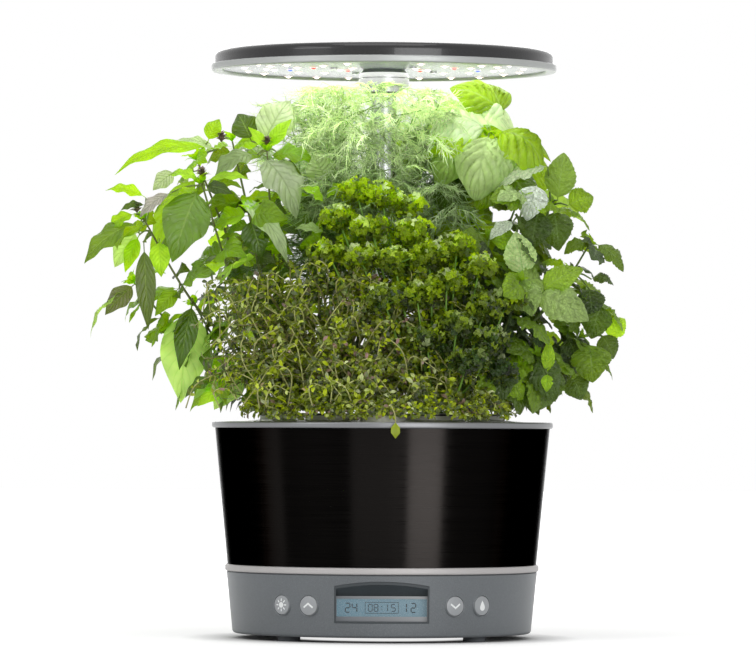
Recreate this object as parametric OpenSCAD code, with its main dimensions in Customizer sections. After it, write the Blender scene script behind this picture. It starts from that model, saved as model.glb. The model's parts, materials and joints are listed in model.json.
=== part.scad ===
// Countertop hydroponic garden: a round control base, a lift-off water bowl with a
// planted deck of six pods, and a disc-shaped grow lamp on a telescoping centre mast.
// Millimetres, +Z up. Origin: on the axis, in the plane that the rubber feet stand on.
// The control panel faces -Y.

/* [Base] */
// Diameter of the base at its lower edge
base_bottom_d = 238.8; // [220:0.2:250]
// Diameter of the base at its upper edge
base_top_d = 248; // [240:0.5:260]
// Height of the base's upper edge above the table
base_top_z = 53.5; // [50:0.5:60]
// Height of the rubber feet that shows below the base
foot_h = 4; // [3:0.5:6]
// Diameter of a rubber foot
foot_d = 18; // [14:1:22]
// Diameter of the bright trim ring between base and bowl
trim_d = 250.6; // [249:0.2:262]
// Height of the trim ring
trim_h = 5.3; // [4:0.1:8]

/* [Controls] */
// Diameter of a button cap
button_d = 15; // [12:0.5:18]
// How far a button travels when pressed
button_travel = 0.8; // [0.3:0.1:1]
// Angle of the inner buttons from the front centre
button_inner_angle = 28; // [27:0.5:30]
// Angle of the outer buttons from the front centre
button_outer_angle = 40; // [40:0.5:44]
// Width of the display recess
display_w = 71.6; // [70:0.2:80]
// Lower edge of the display recess
display_low_z = 16.7; // [15:0.1:18]
// Slope of the recess's ceiling, rising to the front
display_ceiling_slope = 31; // [25:0.5:36]

/* [Bowl and deck] */
// Diameter of the metal sleeve at its upper edge
sleeve_top_d = 267.6; // [262:0.2:272]
// Diameter of the metal sleeve at its lower edge
sleeve_bottom_d = 246.8; // [244:0.2:249]
// Height of the rim's upper edge above the table
rim_top_z = 172.6; // [165:0.2:180]
// Outside diameter of the rim
rim_d = 272.4; // [270:0.2:276]
// Rise of the domed deck over the rim
deck_rise = 5.4; // [4:0.2:6]
// Distance of each pod from the axis
pod_circle_r = 75; // [72:1:78]

/* [Mast and lamp] */
// Outside diameter of the fixed lower mast tube
mast_d = 26; // [25:0.5:27]
// Outside diameter of the sliding upper mast tube
slider_d = 20; // [19:0.5:21]
// Height of the lamp's lower face above the table, fully raised
lamp_low_z = 452.6; // [445:0.2:460]
// Diameter of the lamp's bright lower ring
lamp_ring_d = 276; // [274:0.5:282]
// Diameter of the lamp's dark hood
lamp_hood_d = 272.6; // [270:0.2:273]
// Height of the hood's side band above the ring
lamp_band_h = 10.4; // [9:0.2:12]

/* [Hidden] */
PLANTS = ["thai_basil", "dill", "sweet_basil", "parsley", "thyme", "mint"];
POD_INDEX = [0, 1, 2, 3, 4, 5];
$fn = 96;
gap = 0.3; // free space between pieces that move past each other
fit = 0.05; // radial clearance of a running fit

wall = 2.8;
base_bottom_r = base_bottom_d / 2;
base_top_r = base_top_d / 2;
trim_top_z = base_top_z + trim_h;
base_slope = (base_top_r - base_bottom_r) / (base_top_z - foot_h);
function base_r(z) = base_bottom_r + (z - foot_h) * base_slope;

floor_z = foot_h + 0.6;
floor_t = 2.8;
floor_top_z = floor_z + floor_t;
board_z = floor_z + 7.4;
board_top_z = board_z + 1.6;
foot_r = foot_d / 2;
foot_circle_r = 103;
foot_angles = [45, 135, 225, 315];
boss_circle_r = 98;
boss_angles = [20, 160, 200, 340];
screw_r = 1.75;
screw_head_r = 3.4;

well_r = 44;
well_floor_z = 36;
mast_r = mast_d / 2;
mast_foot_z = 20;
socket_r = mast_r + gap;

button_z = 29;
button_r = button_d / 2;
button_hole_r = button_r + 0.4;
button_axis_r = base_r(button_z);
button_mid_angle = (button_inner_angle + button_outer_angle) / 2;
button_half_angle = (button_outer_angle - button_inner_angle) / 2;
button_angles = [-button_outer_angle, -button_inner_angle, button_inner_angle, button_outer_angle];
switch_face_r = button_axis_r - 13.6;
board_face_r = switch_face_r - 4.5;

display_depth = 14.2;
display_y = -base_r(30) + display_depth;
display_top_z = 36.6;
bezel_t = 1.2;
lcd_low_z = 20.5;
lcd_top_z = 34.4;
lcd_w = display_w - 1;

bowl_wall = 2.4;
sleeve_t = 0.8;
rim_h = 5;
bowl_z = trim_top_z + 0.1;
bowl_top_z = rim_top_z - rim_h - 0.1;
sleeve_bottom_r = sleeve_bottom_d / 2;
sleeve_top_r = sleeve_top_d / 2;
sleeve_slope = (sleeve_top_r - sleeve_bottom_r) / (bowl_top_z - bowl_z);
function sleeve_r(z) = sleeve_bottom_r + (z - bowl_z) * sleeve_slope;
function bowl_r(z) = sleeve_r(z) - sleeve_t - 0.1;
bowl_floor_top_z = bowl_z + 2.5;
sump_r = 42.5;
sump_z = 37.5;
chimney_r = 16.4;
chimney_bore_r = 14;
ledge_r = 125;

rim_r = rim_d / 2;
rim_inner_r = 130.2;
deck_r = rim_inner_r - gap;
deck_top_z = rim_top_z + deck_rise;
deck_edge_drop = 7;
dome_r = (deck_r * deck_r + deck_edge_drop * deck_edge_drop) / (2 * deck_edge_drop);
deck_t = 2.4;
function deck_z(r) = deck_top_z - r * r / (2 * dome_r);
pod_seat_z = 177.4;
pod_hole_r = 18.7;
pod_flange_r = 21;
basket_top_r = 18.2;
basket_bottom_r = 12.5;
basket_bottom_z = 118;
sponge_top_z = 176;
pod_angles = [180, 120, 60, 300, 240, 0]; // Thai basil, dill, sweet basil, parsley, thyme, mint
function pod_pos(i) = pod_circle_r * [cos(pod_angles[i]), sin(pod_angles[i]), 0];
port_pos = [0, -104, 0];
port_r = 15;
gauge_pos = [0, 100, 0];
gauge_r = 3;
gauge_seat_z = 177;

pump_pos = [0, -72, 0];
pump_r = 19;
pump_h = 24;

collar_top_z = 287;
collar_r = 15;
collar_h = 9;
mast_bore_r = mast_r - 1.4;
slider_r = slider_d / 2;
slider_bore_r = slider_r - 1.5;
slider_foot_z = 252;
guide_h = 10;

lamp_ring_r = lamp_ring_d / 2;
lamp_hood_r = lamp_hood_d / 2;
lamp_ring_top_z = lamp_low_z + 5.4;
lamp_top_z = lamp_ring_top_z + lamp_band_h;
lamp_ring_inner_r = 129.4;
led_board_z = lamp_low_z + 1.8;
led_board_t = 1.4;
led_r = 2.3;
spreader_top_z = led_board_z + led_board_t + 1.54;
lamp_screw_circle_r = 46;
lamp_screw_angles = [30, 120, 210, 300];
// Places of the lights on the lamp's right half; the left half mirrors them
white_lights = [
    [25, -21], [29, -80], [29, 112], [35, 0], [48, -52], [48, 41], [55, 104], [69, -28], [69, 36],
    [77, -60], [78, 96], [88, 8], [90, -44], [94, -5], [97, 56], [99, -67], [109, 25], [111, -21]];
red_lights = [[29, 5], [56, -28]];
blue_lights = [[75, 0]];
hub_cone_z = lamp_low_z - 4.8;
hub_ring_z = lamp_low_z - 11.3;
hub_ring_h = 5.3;
hub_sleeve_z = lamp_low_z - 17.6;
hub_r = 20.2;
hub_neck_r = 17;

root_z = 150; // where the stems start, inside the sponges
crown_z = 186; // where they leave the deck
leaf_t = 1.2;
leaf_low_z = deck_top_z + 5;
leaf_high_z = lamp_low_z - 12;
mast_clear_r = 20;

// Shoots: the points that each passes through above its pod
thai_basil_shoots = [
    [[-80, -8, 230], [-88, -14, 310], [-93, -16, 388]],
    [[-95, -12, 225], [-122, -24, 290], [-144, -32, 360]],
    [[-100, -6, 215], [-150, -18, 265], [-190, -26, 332]],
    [[-92, 6, 240], [-125, 16, 320], [-150, 22, 382]],
    [[-84, 10, 240], [-106, 26, 330], [-122, 34, 398]],
    [[-108, 2, 205], [-160, 0, 240], [-198, -8, 282]],
    [[-104, 8, 205], [-132, 10, 235], [-150, 8, 264]],
    [[-94, -10, 196], [-106, -22, 208], [-116, -26, 216]],
    [[-86, 20, 230], [-110, 50, 290], [-128, 72, 335]],
    [[-84, -20, 230], [-98, -38, 290], [-106, -48, 338]],
    [[-66, -6, 240], [-58, -8, 310], [-52, -8, 352]],
    [[-80, 24, 240], [-84, 60, 310], [-86, 84, 350]]];
// Large leaves set by hand: [shoot, place along it, tip, width, bow]
thai_basil_leaves = [
    [3, 1, [-216, -2, 372], 19, 12],
    [3, 1, [-132, 8, 416], 15, 3],
    [3, 0.85, [-190, 12, 306], 26, 6],
    [0, 1, [-76, 2, 432], 32, 4],
    [0, 1, [-117, 12, 421], 24, 2],
    [0, 1, [-138, -32, 363], 26, 9],
    [0, 1, [-66, -46, 340], 36, 6],
    [0, 1, [-57, -16, 380], 17, 4],
    [1, 1, [-167, -60, 302], 40, 4],
    [1, 1, [-172, -34, 369], 15, 4],
    [9, 1, [-74, -54, 300], 20, 8],
    [9, 1, [-96, -54, 303], 24, 3],
    [2, 1, [-239, -36, 300], 23, 6],
    [2, 1, [-221, -24, 358], 15, 4],
    [2, 1, [-214, -28, 295], 22, 4],
    [2, 0.97, [-186, -46, 245], 17, 5],
    [2, 0.97, [-176, -40, 287], 18, 3],
    [5, 1, [-222, -14, 258], 18, 3],
    [6, 1, [-162, -12, 188], 42, 8],
    [7, 1, [-134, -34, 183], 26, 3],
    [7, 1, [-156, -34, 192], 18, 4]];
dill_fronds = [
    [[-50, 60, 300], [-62, 50, 400], [-78, 36, 425]],
    [[-42, 62, 310], [-46, 48, 415], [-54, 18, 434]],
    [[-38, 60, 320], [-34, 44, 420], [-32, 12, 438]],
    [[-36, 50, 310], [-38, 10, 410], [-10, -34, 428]],
    [[-34, 46, 300], [-40, 0, 390], [-6, -42, 392]],
    [[-20, 66, 310], [8, 60, 410], [36, 36, 434]],
    [[-18, 64, 300], [20, 52, 390], [52, 20, 405]],
    [[-16, 60, 290], [30, 44, 360], [66, 10, 362]],
    [[-14, 60, 280], [32, 34, 350], [52, -16, 340]],
    [[-38, 80, 300], [-42, 100, 390], [-50, 120, 410]],
    [[-24, 84, 300], [-10, 104, 400], [2, 122, 416]],
    [[-56, 74, 290], [-80, 80, 370], [-102, 86, 392]],
    [[-30, 52, 290], [-42, 8, 350], [-24, -42, 345]],
    [[-34, 44, 280], [-44, -10, 340], [10, -50, 338]]];
sweet_basil_shoots = [
    [[44, 62, 260], [58, 56, 360], [70, 46, 422]],
    [[48, 66, 250], [76, 68, 330], [94, 62, 385]],
    [[40, 60, 260], [48, 50, 340], [54, 40, 392]],
    [[56, 64, 240], [92, 58, 310], [112, 46, 360]],
    [[38, 76, 250], [50, 98, 330], [60, 110, 390]],
    [[34, 72, 250], [26, 90, 330], [18, 102, 370]],
    [[50, 80, 230], [76, 104, 280], [94, 110, 316]],
    [[44, 58, 240], [60, 32, 300], [72, 14, 330]],
    [[50, 50, 262], [74, 26, 340], [84, -2, 402]]];
sweet_basil_leaves = [
    [0, 1, [97, 2, 422], 54, 17],
    [0, 1, [102, 40, 412], 46, 14],
    [0, 1, [42, 26, 408], 46, 14],
    [0, 1, [84, 86, 406], 46, 10],
    [0, 0.97, [30, 76, 408], 42, 10],
    [8, 1, [37, 4, 412], 44, 12],
    [8, 1, [70, 14, 434], 38, 6],
    [8, 1, [73, -34, 354], 46, 10],
    [8, 1, [96, -30, 360], 34, 8],
    [8, 1, [130, -16, 375], 42, 13],
    [8, 0.95, [30, -8, 389], 24, 6],
    [8, 0.95, [44, -14, 366], 34, 9],
    [8, 0.8, [118, -14, 346], 30, 7],
    [8, 0.75, [50, -10, 342], 30, 6],
    [1, 1, [132, 36, 366], 44, 12]];
// Ends of the parsley stalks, each of which carries a curly head
parsley_heads = [
    [-22, -54, 356], [-2, -60, 352], [18, -62, 344], [-36, -60, 334], [-10, -74, 326],
    [24, -74, 324], [-44, -72, 306], [-18, -86, 302], [8, -88, 300], [36, -84, 304],
    [58, -72, 312], [76, -76, 296], [50, -92, 282], [26, -98, 274], [0, -98, 270],
    [80, -88, 264], [98, -70, 268], [58, -104, 250], [86, -96, 238], [66, -108, 220],
    [30, -46, 310], [54, -46, 288], [34, -104, 240], [92, -80, 214]];
thyme_stems = 20;
// End of thyme stem k: spread evenly over the front left of the deck, the lower ones further out
function thyme_tip(k) = let(u = fraction(k * 0.618), v = fraction(k * 0.755 + 0.31))
    [mix(-138, 56, u), -124 + 56 * v + 40 * pow(2 * u - 1, 2) * (1 - v), 192 + 112 * v - 30 * pow(2 * u - 1, 2) * v];
mint_shoots = [
    [[84, 4, 240], [112, 8, 290], [134, 6, 346]],
    [[82, -10, 240], [100, -24, 300], [112, -34, 350]],
    [[84, -22, 215], [98, -46, 250], [108, -62, 284]],
    [[94, -2, 225], [136, -8, 270], [164, -12, 314]],
    [[98, 4, 205], [140, 6, 235], [168, 4, 268]],
    [[96, -8, 200], [130, -18, 218], [156, -22, 240]],
    [[88, -18, 200], [108, -38, 212], [120, -52, 226]],
    [[80, -22, 200], [88, -46, 208], [94, -62, 216]],
    [[84, 22, 230], [104, 48, 275], [120, 62, 312]],
    [[86, 24, 205], [108, 58, 222], [118, 80, 240]],
    [[92, 14, 225], [128, 30, 262], [150, 38, 292]],
    [[70, -14, 230], [76, -30, 280], [84, -44, 318]],
    [[98, 10, 198], [132, 24, 210], [150, 30, 226]]];
mint_leaves = [
    [0, 1, [144, -6, 389], 26, 3],
    [0, 1, [168, -6, 354], 23, 3],
    [0, 1, [92, -26, 362], 17, 5],
    [0, 1, [140, -28, 311], 28, 4],
    [1, 1, [114, -42, 326], 26, 4],
    [1, 1, [92, -54, 352], 24, 4],
    [2, 1, [105, -52, 324], 27, 3],
    [2, 1, [118, -62, 257], 22, 3],
    [2, 1, [163, -58, 255], 32, 5],
    [2, 1, [158, -50, 296], 22, 4],
    [3, 1, [193, -16, 295], 18, 4],
    [4, 1, [166, -18, 240], 26, 4],
    [4, 1, [193, -6, 257], 19, 3],
    [5, 1, [185, -12, 224], 19, 3],
    [5, 1, [167, -36, 206], 33, 4],
    [6, 1, [118, -60, 183], 46, 5],
    [6, 1, [136, -70, 192], 28, 5],
    [7, 1, [112, -72, 194], 36, 4],
    [7, 1, [92, -86, 192], 28, 5]];

// ---------- small helpers ----------

// Points of an arc in a profile, from angle a0 to a1 about centre c
function arc(c, r, a0, a1, n = 6) = [for (i = [0:n]) let(a = a0 + (a1 - a0) * i / n)
    c + r * [cos(a), sin(a)]];

// A profile [radius, height] turned about the axis
module turned(points) {
    rotate_extrude() polygon(points);
}

// A round tube or washer
module tube(outer_r, inner_r, h) {
    difference() {
        cylinder(r = outer_r, h = h);
        translate([0, 0, -1]) cylinder(r = inner_r, h = h + 2);
    }
}

// Children laid with +Z along the outward radius at an angle from the front centre, at panel height
module on_panel(angle, r) {
    rotate([0, 0, angle]) translate([0, -r, button_z]) rotate([90, 0, 0]) children();
}

module at_circle(r, angles) {
    for (a = angles) rotate([0, 0, a]) translate([r, 0, 0]) children();
}

// ---------- base ----------

module base_screw_boss() {
    difference() {
        translate([0, 0, floor_top_z]) cylinder(r = 4.5, h = base_top_z - wall - floor_top_z + 1);
        translate([0, 0, floor_top_z - 1]) cylinder(r = screw_r + fit, h = 17);
    }
}

// The volume that the display recess takes up, grown by a margin on every side but the front
module display_prism(margin) {
    back_y = display_y + margin;
    front_y = -base_top_r - 20;
    low_z = display_low_z - margin;
    back_top_z = display_top_z + margin;
    front_top_z = back_top_z + (back_y - front_y) * tan(display_ceiling_slope);
    translate([-display_w / 2 - margin, 0, 0]) rotate([90, 0, 90]) linear_extrude(display_w + 2 * margin)
        polygon([[front_y, low_z], [back_y, low_z], [back_y, back_top_z], [front_y, front_top_z]]);
}

module base_shell() {
    edge = 2.6;
    turned(concat(
        [[base_bottom_r - wall, foot_h]],
        arc([base_bottom_r - edge, foot_h + edge], edge, -90, 0),
        [[base_top_r, base_top_z - 1], [base_top_r - 1, base_top_z], [well_r, base_top_z],
         [well_r, well_floor_z], [socket_r, well_floor_z], [socket_r, mast_foot_z + 2],
         [socket_r + 2.5, mast_foot_z + 2], [socket_r + 2.5, well_floor_z - 2.5],
         [well_r + 2.5, well_floor_z - 2.5], [well_r + 2.5, base_top_z - wall],
         [base_top_r - wall, base_top_z - wall]]));
}

module base_housing() {
    color("slategray") difference() {
        union() {
            base_shell();
            at_circle(boss_circle_r, boss_angles) base_screw_boss();
        }
        display_prism(bezel_t + 0.1);
        for (a = button_angles) on_panel(a, button_axis_r - 8) cylinder(r = button_hole_r, h = 20);
        rotate([0, 0, 180]) translate([0, -base_r(20) - 10, 20]) rotate([-90, 0, 0]) cylinder(r = 4.6, h = 20);
    }
}

module base_floor() {
    vent_count = 7;
    color("dimgray") difference() {
        union() {
            translate([0, 0, floor_z]) cylinder(r = base_bottom_r - wall - gap, h = floor_t);
            for (x = [-50, 50], y = [-20, 60]) translate([x, y, floor_z]) cylinder(r = 3, h = 7.38);
            for (side = [-1, 1]) rotate([0, 0, side * button_mid_angle])
                translate([-15, 3.02 - board_face_r, floor_z]) cube([30, 3, 22]);
            translate([-20, display_y + bezel_t + 4.82, floor_z]) cube([40, 3, 22]);
            translate([-5.5, 104, floor_z]) cube([11, 10, 9.38]);
        }
        at_circle(foot_circle_r, foot_angles) translate([0, 0, floor_z - 1]) cylinder(r = 4, h = floor_t + 2);
        at_circle(boss_circle_r, boss_angles) {
            translate([0, 0, floor_z - 1]) cylinder(r = screw_r + 0.25, h = floor_t + 2);
            translate([0, 0, floor_z - 1]) cylinder(r = screw_head_r + 0.2, h = 2.4);
        }
        for (i = [0:vent_count - 1]) translate([(i - (vent_count - 1) / 2) * 7 - 1.5, 78, floor_z - 1])
            cube([3, 22, floor_t + 2]);
    }
}

module rubber_feet() {
    color([0.2, 0.21, 0.22]) at_circle(foot_circle_r, foot_angles) union() {
        turned(concat([[0, 0]], arc([foot_r - 0.8, 0.8], 0.8, -90, 0, 4),
            [[foot_r - 0.3, floor_z], [0, floor_z]]));
        cylinder(r = 3.9, h = floor_top_z + 1.5);
    }
}

module base_screws() {
    color("silver") at_circle(boss_circle_r, boss_angles) difference() {
        union() {
            translate([0, 0, floor_z]) cylinder(r = screw_head_r, h = 1.4);
            translate([0, 0, floor_z + 1]) cylinder(r = screw_r, h = 15);
        }
        translate([0, 0, floor_z - 1]) cylinder(r = 1.3, h = 2, $fn = 6);
    }
}

module trim_ring() {
    r = trim_d / 2;
    color([0.78, 0.77, 0.76]) turned(concat(
        [[118, base_top_z]],
        arc([r - 1.4, base_top_z + 1.4], 1.4, -90, 0, 4),
        arc([r - 1.4, trim_top_z - 1.4], 1.4, 0, 90, 4),
        [[118, trim_top_z]]));
}

// ---------- display ----------

module display_bezel() {
    color([0.2, 0.22, 0.24]) intersection() {
        difference() {
            display_prism(bezel_t);
            display_prism(0);
            translate([-lcd_w / 2, display_y - 1, lcd_low_z]) cube([lcd_w, 4, lcd_top_z - lcd_low_z]);
        }
        translate([0, 0, foot_h]) cylinder(r1 = base_bottom_r - 0.3, r2 = base_top_r - 0.3, h = base_top_z - foot_h);
    }
}

module display_window() {
    color([0.75, 0.85, 0.9, 0.4]) translate([-lcd_w / 2 + 0.1, display_y + 0.1, lcd_low_z + 0.1])
        cube([lcd_w - 0.2, bezel_t - 0.2, lcd_top_z - lcd_low_z - 0.2]);
}

module lcd_panel() {
    color([0.47, 0.6, 0.65]) translate([-lcd_w / 2 - 1, display_y + bezel_t, lcd_low_z - 1.5])
        cube([lcd_w + 2, 3.2, lcd_top_z - lcd_low_z + 3]);
}

// ---------- buttons ----------

// The caps' axis is the panel's outward radius. A flange behind the wall keeps each cap in.
module button_cap(angle) {
    dome_r = 40;
    face_r = button_axis_r + 1;
    flange_r = button_axis_r - 5;
    on_panel(angle, 0) {
        intersection() {
            translate([0, 0, flange_r]) cylinder(r = button_r, h = 20);
            translate([0, 0, face_r - dome_r]) sphere(r = dome_r);
        }
        translate([0, 0, flange_r - 1.6]) cylinder(r = button_r + 1.5, h = 1.6);
        translate([0, 0, switch_face_r + button_travel + 0.1])
            cylinder(r = 2, h = flange_r - 1.6 - switch_face_r - button_travel - 0.1);
    }
}

module light_button() { color([0.55, 0.57, 0.58]) button_cap(-button_outer_angle); }
module up_button() { color([0.55, 0.57, 0.58]) button_cap(-button_inner_angle); }
module down_button() { color([0.55, 0.57, 0.58]) button_cap(button_inner_angle); }
module feed_button() { color([0.55, 0.57, 0.58]) button_cap(button_outer_angle); }

// Circuit boards behind the display and behind each pair of buttons
module panel_boards() {
    color("darkgreen") {
        translate([-39, display_y + bezel_t + 3.22, 12]) cube([78, 1.58, 34]);
        for (side = [-1, 1]) on_panel(side * button_mid_angle, 0)
            translate([-24, -14, board_face_r - 3]) cube([48, 28, 1.6]);
    }
}

// One switch stands behind each cap, square to the board that carries it
module tact_switches() {
    color([0.15, 0.15, 0.15]) for (side = [-1, 1], step = [-1, 1]) on_panel(side * button_mid_angle, 0)
        translate([step * switch_face_r * sin(button_half_angle), 0, board_face_r - 1.38]) {
            translate([-3, -3, 0]) cube([6, 6, 3.4]);
            cylinder(r = 1.75, h = 4.8);
        }
}

// ---------- power and electronics ----------

module power_jack() {
    back_y = base_r(20);
    color([0.12, 0.12, 0.13]) union() {
        difference() {
            union() {
                translate([-5.5, back_y - 18, 14]) cube([11, 13, 12]);
                translate([0, back_y - 6, 20]) rotate([-90, 0, 0]) cylinder(r = 4.3, h = 6.6);
            }
            translate([0, back_y - 10, 20]) rotate([-90, 0, 0]) cylinder(r = 2.85, h = 12);
        }
        translate([0, back_y - 11, 20]) rotate([-90, 0, 0]) cylinder(r = 1.05, h = 9.5);
    }
}

module control_board() {
    color("darkgreen") translate([-56, -28, board_z]) cube([112, 96, 1.58]);
}

module board_components() {
    top_z = board_top_z;
    color([0.15, 0.15, 0.17]) {
        translate([-48, 30, top_z]) cube([18, 14, 3]);
        translate([-20, 44, top_z]) cube([12, 12, 2.2]);
        translate([30, 46, top_z]) cylinder(r = 6, h = 9);
        translate([46, 30, top_z]) cylinder(r = 4, h = 10);
        translate([-48, -20, top_z]) cube([10, 24, 7]);
        translate([38, -20, top_z]) cube([12, 12, 5]);
        translate([0, 58, top_z]) cylinder(r = 5, h = 4);
    }
}

module mast_socket() {
    color([0.12, 0.12, 0.13]) difference() {
        translate([0, 0, board_top_z]) cylinder(r = socket_r + 2.5, h = mast_foot_z + 1.98 - board_top_z);
        translate([0, 0, mast_foot_z]) cylinder(r = socket_r, h = 20);
        for (x = [-5, 0, 5]) translate([x, 0, mast_foot_z - 4]) cylinder(r = 1.3, h = 5);
    }
}

// ---------- bowl ----------

module bowl() {
    color([0.16, 0.16, 0.17]) turned([
        [chimney_r + 0.1, sump_z], [sump_r, sump_z], [sump_r, bowl_z],
        [bowl_r(bowl_z), bowl_z], [bowl_r(bowl_top_z), bowl_top_z],
        [ledge_r, bowl_top_z], [ledge_r, bowl_top_z - 2.5],
        [bowl_r(bowl_top_z - 6) - bowl_wall, bowl_top_z - 6],
        [bowl_r(bowl_floor_top_z) - bowl_wall, bowl_floor_top_z],
        [sump_r - 2.5, bowl_floor_top_z], [sump_r - 2.5, sump_z + 2.5], [chimney_r + 0.1, sump_z + 2.5]]);
}

module bowl_sleeve() {
    color([0.07, 0.065, 0.06]) turned([
        [sleeve_bottom_r - sleeve_t, bowl_z], [sleeve_bottom_r, bowl_z],
        [sleeve_top_r, bowl_top_z], [sleeve_top_r - sleeve_t, bowl_top_z]]);
}

module bowl_rim() {
    low_z = bowl_top_z + 0.05;
    color([0.55, 0.56, 0.58]) turned(concat(
        [[rim_inner_r, low_z]],
        arc([rim_r - 1.5, low_z + 1.5], 1.5, -90, 0, 4),
        arc([rim_r - 1.5, rim_top_z - 1.5], 1.5, 0, 90, 4),
        arc([rim_inner_r + 0.6, rim_top_z - 0.6], 0.6, 90, 180, 3)));
}

module chimney_tube() {
    color([0.2, 0.2, 0.21]) translate([0, 0, sump_z]) union() {
        tube(chimney_r, chimney_bore_r, 166 - sump_z);
        translate([0, 0, 2.6]) tube(chimney_r + 4, chimney_bore_r, 2);
    }
}

module chimney_seal() {
    color([0.1, 0.1, 0.1]) translate([0, 0, sump_z + 4.6]) tube(chimney_r + 3, chimney_r + 0.02, 2);
}

module pump_housing() {
    color([0.15, 0.15, 0.16]) translate(pump_pos + [0, 0, bowl_floor_top_z]) difference() {
        union() {
            cylinder(r = pump_r, h = pump_h - 4);
            translate([0, 14, 10]) rotate([-90, 0, 0]) cylinder(r = 4.5, h = 12);
        }
        translate([0, 0, 3]) cylinder(r = pump_r - 2.4, h = pump_h);
        translate([0, 10, 10]) rotate([-90, 0, 0]) cylinder(r = 2.8, h = 20);
    }
}

// Six-bladed wheel on a magnet core, turning about the pump's own axis
module pump_impeller() {
    color("white") translate(pump_pos + [0, 0, bowl_floor_top_z + 3.5]) difference() {
        union() {
            cylinder(r = 6, h = 14);
            for (a = [0:60:300]) rotate([0, 0, a]) translate([0, -0.7, 4]) cube([13, 1.4, 9]);
        }
        translate([0, 0, -1]) cylinder(r = 1.6, h = 20);
    }
}

module pump_cover() {
    color([0.2, 0.2, 0.21]) translate(pump_pos + [0, 0, bowl_floor_top_z + pump_h - 4]) difference() {
        union() {
            cylinder(r = pump_r, h = 2.4);
            translate([0, 0, -17.2]) cylinder(r = 1.5, h = 18);
        }
        for (a = [0:45:315]) rotate([0, 0, a]) translate([9.5, 0, -1]) cylinder(r = 2.4, h = 5);
    }
}

module pump_filter() {
    color([0.1, 0.1, 0.1]) translate(pump_pos + [0, 0, bowl_floor_top_z + pump_h - 1.6]) cylinder(r = pump_r - 1, h = 6);
}

// ---------- deck and pods ----------

module deck_dome() {
    intersection() {
        difference() {
            translate([0, 0, deck_top_z - dome_r]) sphere(r = dome_r);
            translate([0, 0, deck_top_z - dome_r]) sphere(r = dome_r - deck_t);
        }
        translate([0, 0, bowl_top_z]) cylinder(r = deck_r, h = 30);
    }
}

module grow_deck() {
    edge_z = bowl_top_z + 0.1;
    color([0.86, 0.86, 0.84]) difference() {
        union() {
            deck_dome();
            translate([0, 0, edge_z]) tube(deck_r, deck_r - 4, deck_z(deck_r) - edge_z);
            at_circle(pod_circle_r, pod_angles) translate([0, 0, pod_seat_z - 8]) cylinder(r = pod_hole_r + 4.3, h = 8);
            translate([0, 0, pod_seat_z - 8]) cylinder(r = socket_r + 5, h = 12);
            translate(port_pos + [0, 0, pod_seat_z - 9]) cylinder(r = port_r + 2.5, h = 9);
            translate(gauge_pos + [0, 0, 160]) cylinder(r = gauge_r + 3, h = gauge_seat_z - 160);
        }
        at_circle(pod_circle_r, pod_angles) translate([0, 0, 150]) cylinder(r = pod_hole_r, h = 40);
        translate([0, 0, 150]) cylinder(r = socket_r, h = 50);
        translate(port_pos + [0, 0, 150]) cylinder(r = port_r, h = 40);
        translate(gauge_pos + [0, 0, 150]) cylinder(r = gauge_r + gap, h = 40);
    }
}

// A slotted cup that hangs by its flange in the deck
module pod_basket(i) {
    slots = 8;
    color([0.18, 0.19, 0.18]) translate(pod_pos(i)) difference() {
        union() {
            translate([0, 0, basket_bottom_z]) cylinder(r1 = basket_bottom_r, r2 = basket_top_r, h = pod_seat_z - basket_bottom_z);
            translate([0, 0, pod_seat_z]) cylinder(r = pod_flange_r, h = 1.4);
        }
        translate([0, 0, basket_bottom_z + 1.6]) cylinder(r1 = basket_bottom_r - 1.4, r2 = basket_top_r - 1.4, h = pod_seat_z - basket_bottom_z);
        for (s = [0:slots / 2 - 1]) rotate([0, 0, s * 360 / slots])
            translate([-30, -1.6, basket_bottom_z + 6]) cube([60, 3.2, 34]);
    }
}

module grow_sponges() {
    color([0.3, 0.2, 0.13]) for (i = POD_INDEX) translate(pod_pos(i) + [0, 0, basket_bottom_z + 2])
        cylinder(r1 = basket_bottom_r - 1.9, r2 = basket_top_r - 1.9, h = sponge_top_z - basket_bottom_z - 2);
}

// Paper collars that keep light off the sponges
module pod_collars() {
    color([0.9, 0.9, 0.87]) for (i = POD_INDEX) translate(pod_pos(i) + [0, 0, pod_seat_z + 1.4])
        tube(pod_flange_r - 0.5, 9, 0.6);
}

module level_stem() {
    color("tomato") translate(gauge_pos) union() {
        translate([0, 0, 126]) cylinder(r = gauge_r, h = gauge_seat_z - 126);
        translate([0, 0, gauge_seat_z + 0.1]) cylinder(r = gauge_r + 2, h = 3);
        translate([0, 0, gauge_seat_z - 1]) cylinder(r = gauge_r, h = 2);
    }
}

module level_float() {
    color([0.93, 0.93, 0.9]) translate(gauge_pos + [0, 0, 128]) tube(13, gauge_r + 0.02, 14);
}

// ---------- mast ----------

module mast_tube() {
    color([0.72, 0.73, 0.74]) translate([0, 0, mast_foot_z]) tube(mast_r, mast_bore_r, collar_top_z - collar_h - mast_foot_z);
}

module mast_plug() {
    color([0.12, 0.12, 0.13]) union() {
        translate([0, 0, mast_foot_z]) cylinder(r = mast_bore_r - 0.02, h = 12);
        for (x = [-5, 0, 5]) translate([x, 0, mast_foot_z - 3]) cylinder(r = 0.9, h = 4);
    }
}

module mast_collar() {
    color([0.75, 0.76, 0.77]) turned(concat(
        [[slider_r + gap, collar_top_z - 2], [mast_bore_r, collar_top_z - 2], [mast_bore_r, collar_top_z - collar_h],
         [collar_r, collar_top_z - collar_h]],
        arc([collar_r - 1.5, collar_top_z - 1.5], 1.5, 0, 90, 4),
        [[slider_r + gap, collar_top_z]]));
}

module mast_bush() {
    h = 14;
    color("white") translate([0, 0, collar_top_z - 2 - h]) tube(mast_bore_r - 0.02, slider_r + fit, h);
}

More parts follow.
